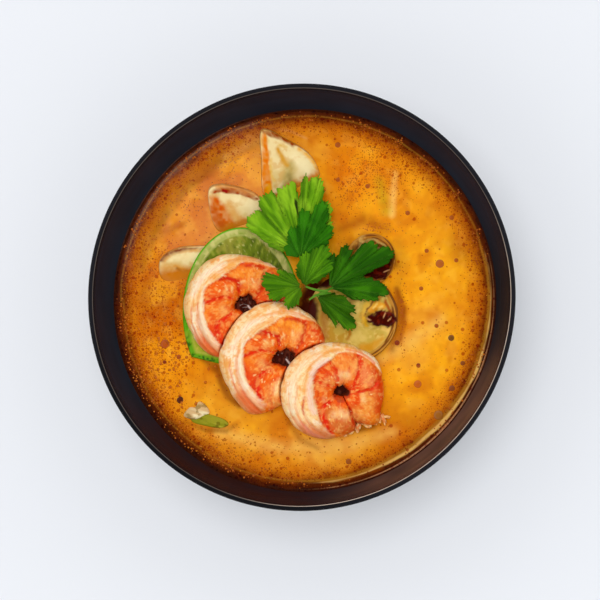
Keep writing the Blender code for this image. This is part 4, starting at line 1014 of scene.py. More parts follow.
# Each slice's place, its tilt down towards a heading, its outline, and the stains, skin and painted
# highlights on it as (colour, strength, softness, route of (x, y, half width))
MUSHROOM_SLICES = (
    {
        "place": (-5, 58, 52.6), "tilt": 20, "heading": -62,
        "outline": ((-12.4, 14.6), (-1.4, 10.2), (7.4, 4.6), (12.0, -2.4), (13.8, -10.6), (8, -19), (-4, -20),
                    (-11.8, -13), (-12.6, 0.5)),
        "marks": (
            ("fffdf0", 0.8, 2.0, ((1, 3, 1.6), (6, -1, 2.6), (8, -6, 1.6))),
            ("b9ad74", 0.75, 1.6, ((0.2, 0.2, 1.0), (-0.8, -4, 2.2), (-1.5, -9, 2.2))),
            ("8a7a3a", 0.6, 1.0, ((-0.6, -5, 0.8), (0.4, -8.6, 1.0), (-3.4, -10, 0.7))),
            ("d9a11e", 0.85, 0.9, ((-5.6, 6.8, 0.8), (-4.6, 4.4, 1.0), (-3.2, 1.4, 1.1), (-1.4, -0.6, 0.7))),
            ("e0b32a", 0.7, 0.7, ((-2, 7.4, 0.4), (-4.8, 8.2, 0.6))),
            ("ecc04a", 0.7, 0.8, ((-8.4, 2, 0.6), (-9, -4, 0.7), (-7.6, -7, 0.6))),
            ("e88804", 1.0, 0.6, ((-11.4, 12.6, 1.0), (-11.0, 4, 1.4), (-10.8, -5, 1.8), (-10, -13, 2.2))),
            ("f2b420", 0.8, 0.9, ((-9.6, -9.6, 1.2), (-9, -14, 1.4))),
            ("f0b21c", 0.9, 0.5, ((3.1, 6.6, 0.5), (8.6, 2.0, 0.7), (11.6, -2.6, 0.5))),
            ("e4ae2c", 0.8, 0.5, ((11.2, -4.4, 0.6), (12.2, -8.6, 0.6))),
            ("9c520e", 1.0, 0.5,
             ((-11.8, 14.4, 0.6), (-8, 12.8, 1.2), (-3, 11.0, 1.3), (2, 8.6, 0.9), (5, 6.9, 0.3))),
        ),
    },
    {
        "place": (-29, 38, 51.6), "tilt": 22, "heading": -72,
        "outline": ((-11.6, 8.8), (-8.0, 11.2), (-1.0, 10.6), (8.6, 7.0), (12.5, 0), (8, -9), (-3, -11.5),
                    (-8.6, -8), (-11.2, 0)),
        "marks": (
            ("fffaea", 0.8, 2.0, ((0, 5.0, 1.4), (6, 3.4, 2.0), (9, 0, 2.0))),
            ("e0a860", 0.8, 2.0, ((-2.6, 3, 1.4), (-0.6, -2, 2.4), (3, -7, 2.6))),
            ("d66e04", 1.0, 1.6, ((-9.2, 4.6, 2.0), (-7.6, 0, 3.8), (-5.6, -5, 4.0), (-1, -9, 2.6))),
            ("c45c02", 0.85, 1.4, ((-9.6, 1, 1.2), (-7.8, -4, 1.9), (-5, -8, 1.9))),
            ("a34a0c", 1.0, 0.5, ((-10.0, 8.2, 0.8), (-6.3, 9.4, 1.2), (2.2, 8.6, 1.3), (9.2, 5.0, 0.7))),
            # painted highlight along the far edge
            ("de9a5c", 0.8, 0.4, ((-11.2, 6, 0.4), (-8.2, 10.9, 0.4), (-1, 10.3, 0.4), (8.4, 6.8, 0.3))),
        ),
    },
    {
        "place": (-52, 14.5, 50.5), "tilt": 15, "heading": -80,
        "outline": ((-10.6, 0.0), (-8.8, 4.2), (-3.4, 7.2), (4, 8.4), (14, 7), (13, -4), (0, -8.5), (-9, -6)),
        "marks": (
            ("fff6e0", 0.8, 1.6, ((-5, 3.0, 1.4), (3, 4.6, 1.8), (9, 4, 1.6))),
            ("dd9c3c", 0.85, 1.6, ((-8, -1.0, 1.2), (-3, 0, 1.0), (1, -2, 1.6), (8, -2, 2.0))),
            ("cc7c10", 1.0, 2.0, ((-8, -3.8, 2.2), (0, -4.2, 2.4), (9, -5, 2.6))),
            ("8a5208", 0.7, 0.8, ((-2.6, -1.2, 0.5), (-0.6, -2.6, 0.8), (1.4, -2, 0.4))),
            ("e0a04e", 0.85, 0.5, ((-9.0, 1.6, 0.6), (-5, 4.9, 0.6), (1, 6.3, 0.5), (9, 6.4, 0.4))),
            ("7c300a", 0.95, 0.4, ((-9.6, 2.6, 0.5), (-6, 5.6, 0.5), (0, 7.3, 0.5), (9, 7.4, 0.4))),
        ),
    },
)


def closed_curve(corners):
    """A function from turns, 0 to 1, to points on a smooth closed curve (Catmull-Rom) through the corners."""
    corners = np.array(corners, float)
    count = len(corners)

    def at(turns):
        place = (turns * count) % count
        i = place.astype(int)
        f = (place - i)[:, None]
        p0, p1, p2, p3 = (corners[(i + k) % count] for k in (-1, 0, 1, 2))
        squared = (2 * p0 - 5 * p1 + 4 * p2 - p3) * f**2
        cubed = (3 * p1 - p0 - 3 * p2 + p3) * f**3
        return (2 * p1 + (p2 - p0) * f + squared + cubed) / 2

    return at


# Soaked mushroom: dense felted flesh, matt where it stands dry and shiny where broth runs over it
mushroom_flesh = food_finish(
    "soaked_mushroom_flesh",
    0.6,
    0.12,
    {
        "IOR": 1.36,
        "Specular IOR Level": 0.2,
        "Subsurface Weight": 0.05,
        "Subsurface Radius": (0.002, 0.0015, 0.001),
        "Subsurface Scale": 1.0,
    },
    0.2,
    0.5,
)

slice_pieces = []
for i, cap in enumerate(MUSHROOM_SLICES):
    outline = closed_curve(cap["outline"])
    name = f"mushroom_cap_slice_{i + 1}"
    mesh, points, from_rim = flat_body(name, outline, SLICE_THICKNESS, SLICE_SPOKES, SLICE_RINGS, 0.35)
    flat = points[:, :2]
    paint = np.tile(linear("f3e9cf"), (len(points), 1))
    lay(paint, "dcc890", 0.6 * eased((clouds(flat, 6, 150 + i) - 0.48) / 0.2))
    lay(paint, "dca850", 0.45 * eased((clouds(flat, 3, 156 + i) - 0.54) / 0.14))
    swayed = flat + np.column_stack([clouds(flat, 2.4, 160 + i), clouds(flat, 2.4, 164 + i)]) - 0.5
    for colour, strength, soft, route in cap["marks"]:
        lay(paint, colour, strength * stroke(swayed, route, soft) * (0.7 + 0.5 * noise(flat, 1.2, 168 + i)))
    lay(paint, "d8923a", 0.6 * eased((0.5 - from_rim) / 0.4))
    points = leaning(points, cap["tilt"], cap["heading"], cap["place"])
    lapping = points[:, 2] + 1.4 * (clouds(flat, 3, 172 + i) - 0.5)
    lay(paint, "d2821e", 0.95 * eased((SOUP_LEVEL + 1.5 - lapping) / 1.1))
    moved(mesh, points)
    painted(mesh, paint, eased((SOUP_LEVEL + 3 - points[:, 2]) / 3), (0.93, 0.8, 0.5))
    faced_out(mesh)
    slice_pieces.append(finished(name, mesh, mushroom_flesh, "mushroom_flesh", f"mushroom_slice_{i + 1}"))


# --- Straw mushrooms -------------------------------------------------------------------------------
# Two straw mushrooms, halved and cooked: pale yellow-green flesh inside a thin layered brown skin, each
# with a hollow under its cap where dark red oil has settled.

FACE_CROWN, FACE_FLATNESS, FACE_SPREAD, HOLLOW_WIDTH = 1.6, 0.6, 0.75, 2.2
POOL_LEVEL = SOUP_LEVEL + 0.5  # of the oil that fills each hollow
STRAW_AROUND, STRAW_ALONG = 160, 114
# Each half's place and half sizes, its tilt down towards a heading, its hollow's middle and half sizes on
# the cut face, its colours, how far in its skin shows, marks on the face as on the slices, and painted glints
STRAW_MUSHROOMS = (
    {
        "place": (21.2, -8.4, 51.6), "half": (19.4, 19.4, 8.5), "tilt": 4, "heading": 15,
        "hollow": (11.8, -0.7), "hollow_half": (6.4, 3.9, 3.4), "slot": "straw_mushroom_flesh",
        "flesh": "cbbf78", "pale": "e8e0b4", "stain": "c29a2c", "skin": 0.15,
        "marks": (
            ("f0b840", 0.95, 0.6, ((8.0, 3.0, 1.2), (10.4, 4.6, 1.7), (13.4, 5.0, 1.2))),
            # painted highlights on the frill
            ("fff0b4", 0.85, 0.4, ((8.6, 3.6, 0.4), (10.6, 5.4, 0.5))),
            ("fff0b4", 0.85, 0.4, ((11.4, 3.2, 0.4), (12.8, 4.8, 0.4))),
            ("7a3a0c", 0.9, 0.35, ((5.2, 0.4, 0.3), (6.4, 3.8, 0.35), (8.6, 6.2, 0.35), (11.8, 7.6, 0.3))),
            # painted highlight on the flesh's lower right
            ("fbe6b0", 0.85, 0.8, ((13.4, -5.0, 1.2), (16.0, -4.8, 1.3), (16.2, -8.4, 1.0))),
            ("f0c82c", 0.9, 0.5, ((3.4, -15.4, 0.7), (7.6, -16.6, 0.8), (11.8, -15.2, 0.6))),
            ("430e04", 1.0, 1.4, ((-20, 9, 3), (-18, 4.5, 3.4), (-17, 0, 2.4), (-17, -4, 1.2))),
            ("380e06", 1.0, 1.4, ((-16, 15, 3), (-10.5, 15, 2.4))),
            ("a8641a", 0.7, 1.6, ((-13, 6, 1.0), (-12, 0, 1.6), (-12, -8, 1.6))),
            ("ecd070", 0.8, 0.5, ((4.6, -2.6, 0.5), (4.4, 1.4, 0.6), (5.6, 4.8, 0.6), (8.6, 7.4, 0.6))),
            ("e8c22a", 0.85, 0.6, ((5.0, -0.4, 0.6), (6.2, -3.6, 0.6))),
            ("a8500f", 0.9, 0.6, ((14.0, 7, 0.8), (16.4, 3, 0.9), (17.6, -2, 0.5))),
            ("b07a18", 0.8, 0.6, ((1.2, -2.6, 0.8), (-2, -9, 0.8))),
            ("d9a62a", 0.8, 1.2, ((4, -13, 1.4), (9, -12.4, 1.6), (13, -9, 1.0))),
            ("8f6a1c", 0.6, 1.0, ((-3, 3, 1.2), (1, 8, 1.4))),
        ),
        "glints": (
            ((6.2, -0.2, 0.25), (7.6, -1.0, 0.3)),
            ((13.4, 0.2, 0.2), (14.2, 2.0, 0.2)),
            ((15.4, -1.2, 0.2), (16.6, -0.2, 0.2)),
        ),
    },
    {
        "place": (29.2, 16.6, 51.0), "half": (10.4, 11.0, 6.5), "tilt": 5, "heading": -60,
        "hollow": (0.6, -1.0), "hollow_half": (7.6, 7.8, 3.6), "slot": "straw_mushroom_skin",
        "flesh": "a8742c", "pale": "cfa86a", "stain": "6a3410", "skin": 0.2,
        "marks": (
            ("d8c8a4", 0.8, 0.5, ((-7.6, -1, 0.4), (-4.6, 6.4, 0.5), (1, 8.6, 0.5), (6.6, 5.2, 0.4))),
            ("5a1a08", 0.85, 1.2, ((2, -5, 1.4), (6, -6.4, 1.4), (9, -3, 1.0))),
        ),
        "glints": (((5.6, -5.6, 0.15), (7.8, -4.6, 0.2)), ((7.0, 0.4, 0.15), (7.4, 2.4, 0.2))),
    },
)

# Cooked straw mushroom: slippery, close-grained flesh with a soft shine
straw_flesh = food_finish(
    "cooked_straw_mushroom",
    0.9,
    0.15,
    {
        "IOR": 1.37,
        "Specular IOR Level": 0.25,
        "Subsurface Weight": 0.05,
        "Subsurface Radius": (0.002, 0.0015, 0.001),
        "Subsurface Scale": 1.0,
    },
    0.08,
    0.38,
)

straw_pieces = []
for i, half in enumerate(STRAW_MUSHROOMS):
    mesh, along, around = globe(f"straw_mushroom_half_{i + 1}", STRAW_AROUND, STRAW_ALONG)
    level = np.sin(np.pi * along)
    ball = np.column_stack([level * np.cos(around), level * np.sin(around), np.cos(np.pi * along)])
    on_face = ball[:, 2] > 0
    spread = np.maximum(np.hypot(ball[:, 0], ball[:, 1]), 1e-6)
    out = np.where(on_face, spread ** (FACE_SPREAD - 1), 1)
    rx, ry, depth = half["half"]
    out = out * (1 + 0.16 * (clouds(ball * 9, 9, 184 + i) - 0.5))
    x, y = ball[:, 0] * out * rx, ball[:, 1] * out * ry
    flat = np.column_stack([x, y])
    (hx, hy), (ax, ay, hollow_depth) = half["hollow"], half["hollow_half"]
    wobble = 1.5 * (clouds(flat, 2.6, 180 + i) - 0.5)
    inside = ((x - hx) / ax) ** 2 + ((y - hy) / ay) ** 2 + wobble
    pressed = np.exp(-((2 * inside / HOLLOW_WIDTH) ** 2))
    top = FACE_CROWN * np.maximum(ball[:, 2], 0) ** FACE_FLATNESS - hollow_depth * pressed
    points = np.column_stack([x, y, np.where(on_face, top, ball[:, 2] * depth)])
    paint = np.tile(linear(half["flesh"]), (len(points), 1))
    lay(paint, half["pale"], 0.7 * eased((clouds(flat, 7, 190 + i) - 0.44) / 0.2))
    lay(paint, half["stain"], 0.6 * eased((clouds(flat, 3.4, 194 + i) - 0.54) / 0.12))
    lay(paint, "f2ecc8", 0.4 * eased((clouds(flat, 1.8, 201 + i) - 0.58) / 0.1))
    swayed = flat + 1.8 * np.column_stack([clouds(flat, 2.2, 204 + i), clouds(flat, 2.2, 207 + i)]) - 0.9
    for colour, strength, soft, route in half["marks"]:
        lay(paint, colour, strength * stroke(swayed, route, soft))
    from_edge = 1 - np.hypot(x / rx, y / ry)
    layers = noise(np.column_stack([around * 2, from_edge * rx / 0.5]), 1, 197 + i)
    skin = eased((half["skin"] - from_edge) / 0.05) * eased(np.cos(around - 0.3) / 0.5 + 0.5)
    lay(paint, "c08a3c", 0.8 * skin)
    lay(paint, "6a3812", 0.85 * skin * eased((layers - 0.45) / 0.15))
    lay(paint, "6a3c18", 0.8 * (~on_face))
    points = leaning(points, half["tilt"], half["heading"], half["place"])
    pool = on_face & (inside < 1.4) & (points[:, 2] < POOL_LEVEL)
    points[pool, 2] = POOL_LEVEL
    oil = eased((1.3 - inside) / 0.3) * eased((POOL_LEVEL + 1.0 - points[:, 2]) / 0.8)
    lay(paint, "420a02", oil)
    lay(paint, "701c08", 0.8 * oil * eased((clouds(flat, 1.6, 210 + i) - 0.54) / 0.06))
    # Painted glints on the wet face and its oil
    for route in half["glints"]:
        lay(paint, "f4c8c0", 0.9 * stroke(flat, route, 0.25))
    moved(mesh, points)
    painted(mesh, paint, np.maximum(oil, 0.45), (0.9, 0.68, 0.28))
    faced_out(mesh)
    straw_pieces.append(
        finished(f"straw_mushroom_half_{i + 1}", mesh, straw_flesh, half["slot"], f"straw_mushroom_{i + 1}")
    )


# --- Small pieces afloat ---------------------------------------------------------------------------
# A cream bit of mushroom and an olive-green bit of scallion, both cut by hand and soaked, afloat by the
# near left wall.

BIT_SPOKES, BIT_RINGS = 96, 48
# Each bit's place, its tilt down towards a heading, its colours (its own, its pale stripes', its stains'),
# the height in its outline under which the stripes are strong, and its outline
BITS = (
    {
        "name": "mushroom_crumb", "node": "mushroom_bit", "slot": "mushroom_flesh", "thickness": 3,
        "place": (-45.4, -48.0, 50.4), "tilt": 6, "heading": -60, "colours": ("d8b27c", "f6e4b4", "8a6a20"),
        "pale_below": 0.2,
        "outline": ((-6.0, -2.2), (-3.6, 1.2), (-1.0, 1.6), (0.6, 3.8), (3.4, 2.4), (5.2, -0.8), (2.6, -2.4),
                    (-1.6, -3.8)),
    },
    {
        "name": "scallion_strip", "node": "scallion_bit", "slot": "scallion_green", "thickness": 1.8,
        "place": (-39.4, -52.0, 50.0), "tilt": 4, "heading": 200, "colours": ("8c8a16", "bcae34", "645408"),
        "pale_below": -1.0,
        "outline": ((-9.0, 1.2), (-5.4, 3.0), (0, 2.2), (5.6, 0.2), (7.2, -2.0), (3.6, -3.4), (-3.0, -2.4),
                    (-8, -1.0)),
    },
)
for i, bit in enumerate(BITS):
    outline = closed_curve(bit["outline"])
    mesh, points, _ = flat_body(bit["name"], outline, bit["thickness"], BIT_SPOKES, BIT_RINGS)
    flat = points[:, :2]
    paint = np.tile(linear(bit["colours"][0]), (len(points), 1))
    stripes = noise(np.column_stack([flat[:, 0] / 5, (flat[:, 1] + 0.3 * flat[:, 0]) / 1.1]), 1, 200 + i)
    near_side = eased((bit["pale_below"] - flat[:, 1]) / 1.2)
    lay(paint, bit["colours"][1], (0.25 + 0.7 * near_side) * eased((stripes - 0.42) / 0.2))
    lay(paint, bit["colours"][2], 0.7 * eased((clouds(flat, 2, 220 + i) - 0.56) / 0.06))
    points[:, 2] += 0.4 * (stripes - 0.5) * (points[:, 2] > -0.01)
    points = leaning(points, bit["tilt"], bit["heading"], bit["place"])
    moved(mesh, points)
    painted(mesh, paint, np.full(len(paint), 0.7))
    faced_out(mesh)
    finished(bit["name"], mesh, mushroom_flesh if i == 0 else lime_flesh, bit["slot"], bit["node"])


# --- Coriander -------------------------------------------------------------------------------------
# A sprig of fresh coriander laid over the rest: five thin leaves and a lobe over the largest, all cut into
# toothed lobes with veins that fan out from the base, on pale juicy stalks.

LEAF_THICKNESS = 0.3
LEAF_CLEARANCE = 0.7
LEAF_BASE_RADIUS = 0.9
LEAF_DROOP = 1.5
LEAF_ROWS, LEAF_COLUMNS = 22, 440
FOLDS, FOLD_HEIGHT = 3, 0.6
SMOOTHINGS = 12  # of a leaf where it is lifted over what lies under it
TOOTH_SPACING, TOOTH_DEPTH = 2.0, 1.8

# Each leaf's base, the height of its tips, where it narrows to its stalk, its dark and light greens, its
# edge as (degrees from +X, reach), its slits as (degrees, depth, width) and its lobes' middles in degrees
LEAVES = (
    {
        "base": (-0.1, 18.2, 57.5), "tips": 56, "root": (0, 0), "greens": ("64980e", "8cba22"),
        "edge": ((15, 9), (28, 15), (40, 17.5), (52, 21), (60, 25), (66, 26), (69, 29.5), (74, 33), (78, 35),
                 (82, 33.6), (86, 35), (90, 31.5), (98, 31.4), (108, 30.2), (120, 30.6), (129, 30.2),
                 (135, 27.6), (143, 28.2), (151, 27.4), (155, 21), (162, 15), (170, 9)),
        "slits": ((67.5, 0.12, 1.8), (84, 0.1, 1.5), (91.5, 0.24, 2.2), (112, 0.1, 2), (131.5, 0.14, 2.4)),
        "lobes": (52, 77, 100, 122, 146), "gap": (95, 17.2, 23), "node": "coriander_leaf_1",
    },
    {
        "base": (-0.4, 16.6, 59.5), "tips": 58, "root": (0, 0), "greens": ("1f5c02", "357c0a"),
        "edge": ((-14, 7), (4, 10), (18, 12), (32, 16), (46, 18.6), (55, 21.6), (62, 25.4), (68, 26),
                 (72, 24), (77, 20.5), (90, 20.5), (94, 14.5), (102, 13.6), (110, 13.8), (122, 10),
                 (145, 8), (170, 6)),
        "slits": ((26, 0.14, 2.5), (50, 0.12, 2), (75, 0.14, 2), (92, 0.16, 2)),
        "lobes": (14, 40, 65, 84, 108), "gap": None, "node": None,
    },
    {
        "base": (13.8, 5.6, 58.5), "tips": 54.5, "root": (-1.8, -1.9), "greens": ("235802", "3a7808"),
        "edge": ((-44, 7.5), (-36, 13), (-28, 16.2), (-22, 19.5), (-12, 23.0), (-5, 22.6), (0, 20.5),
                 (6, 17), (12, 15.6), (17, 18.5), (21, 25.5), (27, 28.6), (34, 28), (41, 25), (48, 24.4),
                 (55, 20.5), (60, 17), (66, 16.5), (72, 18), (80, 15), (90, 13), (104, 12.6), (112, 7)),
        "slits": ((-30, 0.14, 2.4), (-17.5, 0.14, 2.4), (12, 0.3, 3.5), (38, 0.16, 2), (56, 0.45, 3),
                  (84, 0.16, 3)),
        "lobes": (-34, -12, 28, 46, 74, 100), "gap": None, "node": "coriander_leaf_2",
    },
    {
        "base": (8.6, -0.4, 61.5), "tips": 56.5, "root": (-1.9, 0.6), "greens": ("305e02", "487e08"),
        "edge": ((-96, 3), (-78, 8), (-70, 11), (-65, 14), (-60, 13.4), (-55, 16.6), (-46, 18.9), (-37, 18),
                 (-32, 14.6), (-25, 15.6), (-12, 13.2), (0, 10), (14, 6.4), (40, 3)),
        "slits": ((-60, 0.14, 3), (-32, 0.1, 3), (-6, 0.1, 3)), "lobes": (-66, -46, -22, 4), "gap": None,
        "node": "coriander_leaf_3",
    },
    {
        "base": (2.2, 7.6, 61.5), "tips": 60, "root": (-1.3, -3.8), "greens": ("3a7206", "5a900e"),
        "edge": ((-40, 3.5), (-13, 5.5), (0, 7.8), (12, 10.4), (22, 12), (40, 14.0), (58, 16.4), (76, 12.8),
                 (98, 10.5), (118, 7.6), (140, 5.5), (165, 4), (185, 3)),
        "slits": ((38, 0.12, 3), (80, 0.16, 4)), "lobes": (26, 56, 96), "gap": None,
        "node": "coriander_leaf_4",
    },
    {
        "base": (-1.4, 4.4, 64.5), "tips": 62.5, "root": (2.2, -0.6), "greens": ("447604", "669810"),
        "edge": ((95, 2.6), (116, 6.4), (124, 8.4), (132, 9.4), (139, 10.8), (148, 10.8), (155, 14),
                 (164, 15), (174, 15), (184, 14.2), (190, 13), (197, 13.8), (206, 12.6), (212, 11.6),
                 (219, 9.6), (227, 8.8), (236, 10), (246, 10.4), (256, 9.6), (265, 8.4), (276, 7),
                 (287, 5.6), (304, 3.6)),
        "slits": ((148, 0.22, 4), (190, 0.12, 3), (221, 0.28, 4)),
        "lobes": (126, 145, 168, 198, 236), "gap": None, "node": "coriander_leaf_5",
    },
)


def leaf_edge(leaf):
    """The blade's edge at even steps along it: lobes parted by slits, and small uneven teeth all the way.

    Gives each step's degrees, which never turn back, and its reach from the base.
    """
    degrees = np.linspace(leaf["edge"][0][0], leaf["edge"][-1][0], 10 * LEAF_COLUMNS)
    reach = through(leaf["edge"], degrees)
    for middle, depth, width in leaf["slits"]:
        reach = reach * (1 - depth * np.clip(1 - np.abs(degrees - middle) / width, 0, 1) ** 0.7)
    angle = np.radians(degrees)
    line = np.column_stack([reach * np.cos(angle), reach * np.sin(angle)])
    run = np.concatenate([[0], np.cumsum(np.linalg.norm(np.diff(line, axis=0), axis=1))])
    at = np.linspace(0, run[-1], LEAF_COLUMNS)
    line = np.column_stack([np.interp(at, run, line[:, 0]), np.interp(at, run, line[:, 1])])
    ahead = np.gradient(line, axis=0)
    outward = np.column_stack([ahead[:, 1], -ahead[:, 0]]) / np.linalg.norm(ahead, axis=1)[:, None]
    place = at / TOOTH_SPACING
    swayed = place + 0.4 * np.sin(place * 1.7) + 0.3 * np.sin(place * 0.71 + 2)
    depth = TOOTH_DEPTH * (0.8 + 0.4 * np.sin(np.floor(swayed) * 2.4))
    depth = depth * eased(np.minimum(at, run[-1] - at) / 4)
    tooth = 1 - np.abs(2 * (swayed % 1) - 1) ** 1.1
    line += outward * (depth * (tooth - 0.6))[:, None]
    turned = np.degrees(np.unwrap(np.arctan2(line[:, 1], line[:, 0])))
    turned += 360 * np.rint((leaf["edge"][0][0] - turned[0]) / 360)
    return np.maximum.accumulate(turned) + 0.0005 * np.arange(LEAF_COLUMNS), np.hypot(line[:, 0], line[:, 1])


def leaf_grid(name):
    """A flat grid, with each point's share of the way out from the base and across the leaf."""
    bm = bmesh.new()
    bmesh.ops.create_grid(bm, x_segments=LEAF_ROWS, y_segments=LEAF_COLUMNS, size=0.5 * MM)
    mesh = meshed(name, bm)
    at = points_of(mesh)
    return mesh, at[:, 0] + 0.5, at[:, 1] + 0.5


def top_beneath(trees, x, y):
    """The highest surface under a point, in millimetres, or nothing."""
    start = Vector((x, y, 100)) * MM
    hits = (tree.ray_cast(start, Vector((0, 0, -1)))[0] for tree in trees)
    return max((hit.z / MM for hit in hits if hit), default=0)


def tree_of(made):
    """A search tree of the piece as it stands, for rays cast down on it."""
    return bvhtree.BVHTree.FromObject(made, bpy.context.evaluated_depsgraph_get())


# Fresh coriander: a thin waxy leaf with a soft sheen, with paler veins
coriander_leaf = food_finish(
    "fresh_coriander_leaf",
    0.8,
    0.1,
    {"IOR": 1.4, "Specular IOR Level": 0.08},
    0.34,
    0.5,
)

bpy.context.view_layer.update()
beneath = [tree_of(made) for made in prawn_pieces + [lime_piece] + slice_pieces + straw_pieces]
for i, leaf in enumerate(LEAVES):
    mesh, out, across = leaf_grid(f"coriander_blade_{i + 1}")
    column = np.rint(across * (LEAF_COLUMNS - 1)).astype(int)
    row = np.rint(out * (LEAF_ROWS - 1)).astype(int)
    edge_degrees, edge_reach = leaf_edge(leaf)
    degrees = edge_degrees[column]
    turned = (degrees - edge_degrees[0]) / (edge_degrees[-1] - edge_degrees[0])
    reach = LEAF_BASE_RADIUS + (edge_reach[column] - LEAF_BASE_RADIUS) * out
    angle = np.radians(degrees)
    flat = np.column_stack([reach * np.cos(angle), reach * np.sin(angle)])
    base_height = leaf["base"][2]
    outward = np.clip(reach / through(leaf["edge"], degrees), 0, 1)
    height = base_height + (leaf["tips"] - base_height) * outward**LEAF_DROOP
    height += FOLD_HEIGHT * outward * np.cos(math.tau * FOLDS * turned)
    veins, ribs = np.zeros(len(out)), np.zeros(len(out))
    for lobe in leaf["lobes"]:
        turn = math.radians(lobe)
        length = float(through(leaf["edge"], np.array([lobe]))[0])
        tip = np.array((math.cos(turn), math.sin(turn)))
        side = np.array((-tip[1], tip[0]))
        veins = np.maximum(veins, stroke(flat, [(0, 0, 0.25), (*(tip * length * 0.95), 0.05)], 0.3))
        for branch in range(2, 9):
            root = tip * length * branch / 10
            for way in (-1, 1):
                end = root + (tip * 0.8 + side * way * 0.55) * length * 0.3
                ribs = np.maximum(ribs, stroke(flat, [(*root, 0.1), (*end, 0.04)], 0.35))
    height -= 0.25 * veins + 0.12 * ribs - 0.2 * noise(np.column_stack([degrees / 3, reach / 9]), 1, 260 + i)
    sheet = np.zeros((LEAF_ROWS, LEAF_COLUMNS))
    sheet[row, column] = height
    narrowing = (1 - outward) ** 2
    x = flat[:, 0] + leaf["base"][0] + narrowing * leaf["root"][0]
    y = flat[:, 1] + leaf["base"][1] + narrowing * leaf["root"][1]
    floor = np.zeros_like(sheet)
    floor[row, column] = [top_beneath(beneath, px, py) for px, py in zip(x, y)]
    lifted = np.maximum(sheet, floor + LEAF_CLEARANCE)
    for _ in range(SMOOTHINGS):
        padded = np.pad(lifted, 1, mode="edge")
        mean = (padded[:-2, 1:-1] + padded[2:, 1:-1] + padded[1:-1, :-2] + padded[1:-1, 2:]) / 4
        raised = lifted - sheet > 0.02
        lifted = np.where(raised, np.maximum(mean, floor + 0.6 * LEAF_CLEARANCE), lifted)
    nearest = np.min(np.abs(degrees[:, None] - np.array(leaf["lobes"])), axis=1)
    paint = np.tile(linear(leaf["greens"][0]), (len(out), 1))
    lay(paint, leaf["greens"][1], 0.9 * eased((clouds(flat, 7, 230 + i) - 0.32) / 0.36))
    # Painted light and shade of fine furrows that run out from the base
    furrow_light_and_shade = noise(np.column_stack([degrees / 2.6, reach / 9]), 1, 240 + i)
    lay(paint, "174404", 0.45 * eased((furrow_light_and_shade - 0.5) / 0.3))
    lay(paint, leaf["greens"][1], 0.45 * eased((0.45 - furrow_light_and_shade) / 0.4))
    # Painted shade between the lobes, darker away from each lobe's middle
    lay(paint, "1c4c04", 0.5 * eased((nearest - 5) / 12))
    lay(paint, "123c04", 0.45 * eased((0.35 - outward) / 0.3))
    lay(paint, "78a83c", 0.15 * veins)
    lay(paint, "1c4c06", 0.3 * ribs)
    # Painted shadow of a slit, which is not cut into the blade
    if leaf["gap"]:
        turn, near, far = leaf["gap"]
        slit = clockwise_route(((-turn, near, 0.2), (-turn - 1.5, far, 0.7)))
        lay(paint, "141c06", 0.95 * stroke(flat, slit, 0.25))
    moved(mesh, np.column_stack([x, y, lifted[row, column]]))
    painted(mesh, paint, np.full(len(out), 0.6))
    mesh.update()
    if mesh.polygons[0].normal.z < 0:
        mesh.flip_normals()
    nodes = [leaf["node"]] if leaf["node"] else []
    made = finished(f"coriander_blade_{i + 1}", mesh, coriander_leaf, "coriander_leaf", *nodes)
    solidify = made.modifiers.new("leaf_thickness", "SOLIDIFY")
    solidify.thickness = LEAF_THICKNESS * MM
    solidify.offset = 0
    bpy.context.view_layer.update()
    beneath.append(tree_of(made))

# Each stalk as a route of (x, y, z, radius)
STALKS = (
    ((2.2, 3.8, 65.6, 0.4), (6.4, 2.4, 65.2, 0.5), (10.4, 2.0, 64.4, 0.5), (13.8, 3.6, 61.6, 0.4)),
    ((3.6, -1.8, 63.8, 0.35), (6.6, 0, 64.8, 0.5), (9.6, 0.6, 64.8, 0.5), (13.0, 1.2, 62.6, 0.4)),
    ((7.0, -0.6, 62.8, 0.35), (8.2, 0.8, 64.2, 0.5), (9.8, 1.4, 64.6, 0.5), (11.8, 1.6, 64.0, 0.35)),
)


def swept(name, route, around_steps=16, along_steps=60):
    """A round stalk along a smooth route of (x, y, z, radius)."""
    mesh, along, around = globe(name, around_steps, along_steps)
    last = len(route) - 1
    axes = [[(i / last, point[axis]) for i, point in enumerate(route)] for axis in range(4)]
    centre = np.column_stack([through(axis, along) for axis in axes[:3]])
    ahead = np.column_stack([through(axis, np.minimum(along + 0.01, 1)) for axis in axes[:3]])
    behind = np.column_stack([through(axis, np.maximum(along - 0.01, 0)) for axis in axes[:3]])
    run = ahead - behind
    run /= np.linalg.norm(run, axis=1)[:, None]
    side = np.cross(run, (0, 0, 1))
    side /= np.linalg.norm(side, axis=1)[:, None]
    up = np.cross(side, run)
    radius = (through(axes[3], along) * rounded_end(along))[:, None]
    return mesh, centre + (side * np.cos(around)[:, None] + up * np.sin(around)[:, None]) * radius, along


for i, route in enumerate(STALKS):
    mesh, points, along = swept(f"coriander_stalk_{i + 1}", route)
    paint = np.tile(linear("357210"), (len(points), 1))
    lay(paint, "7ca23a", 0.6 * noise(np.column_stack([points[:, 0] / 4, points[:, 1] / 0.5]), 1, 250))
    moved(mesh, points)
    painted(mesh, paint, np.full(len(points), 0.7))
    faced_out(mesh)
    nodes = ["coriander_stem"] if i == 0 else []
    finished(f"coriander_stalk_{i + 1}", mesh, coriander_leaf, "coriander_stem", *nodes)


# --- Oil droplets and specks -----------------------------------------------------------------------
# Chilli oil floats on the broth as flat lenses, and ground chilli as fine dark specks: both are thickest
# along the wall and on the near left side.

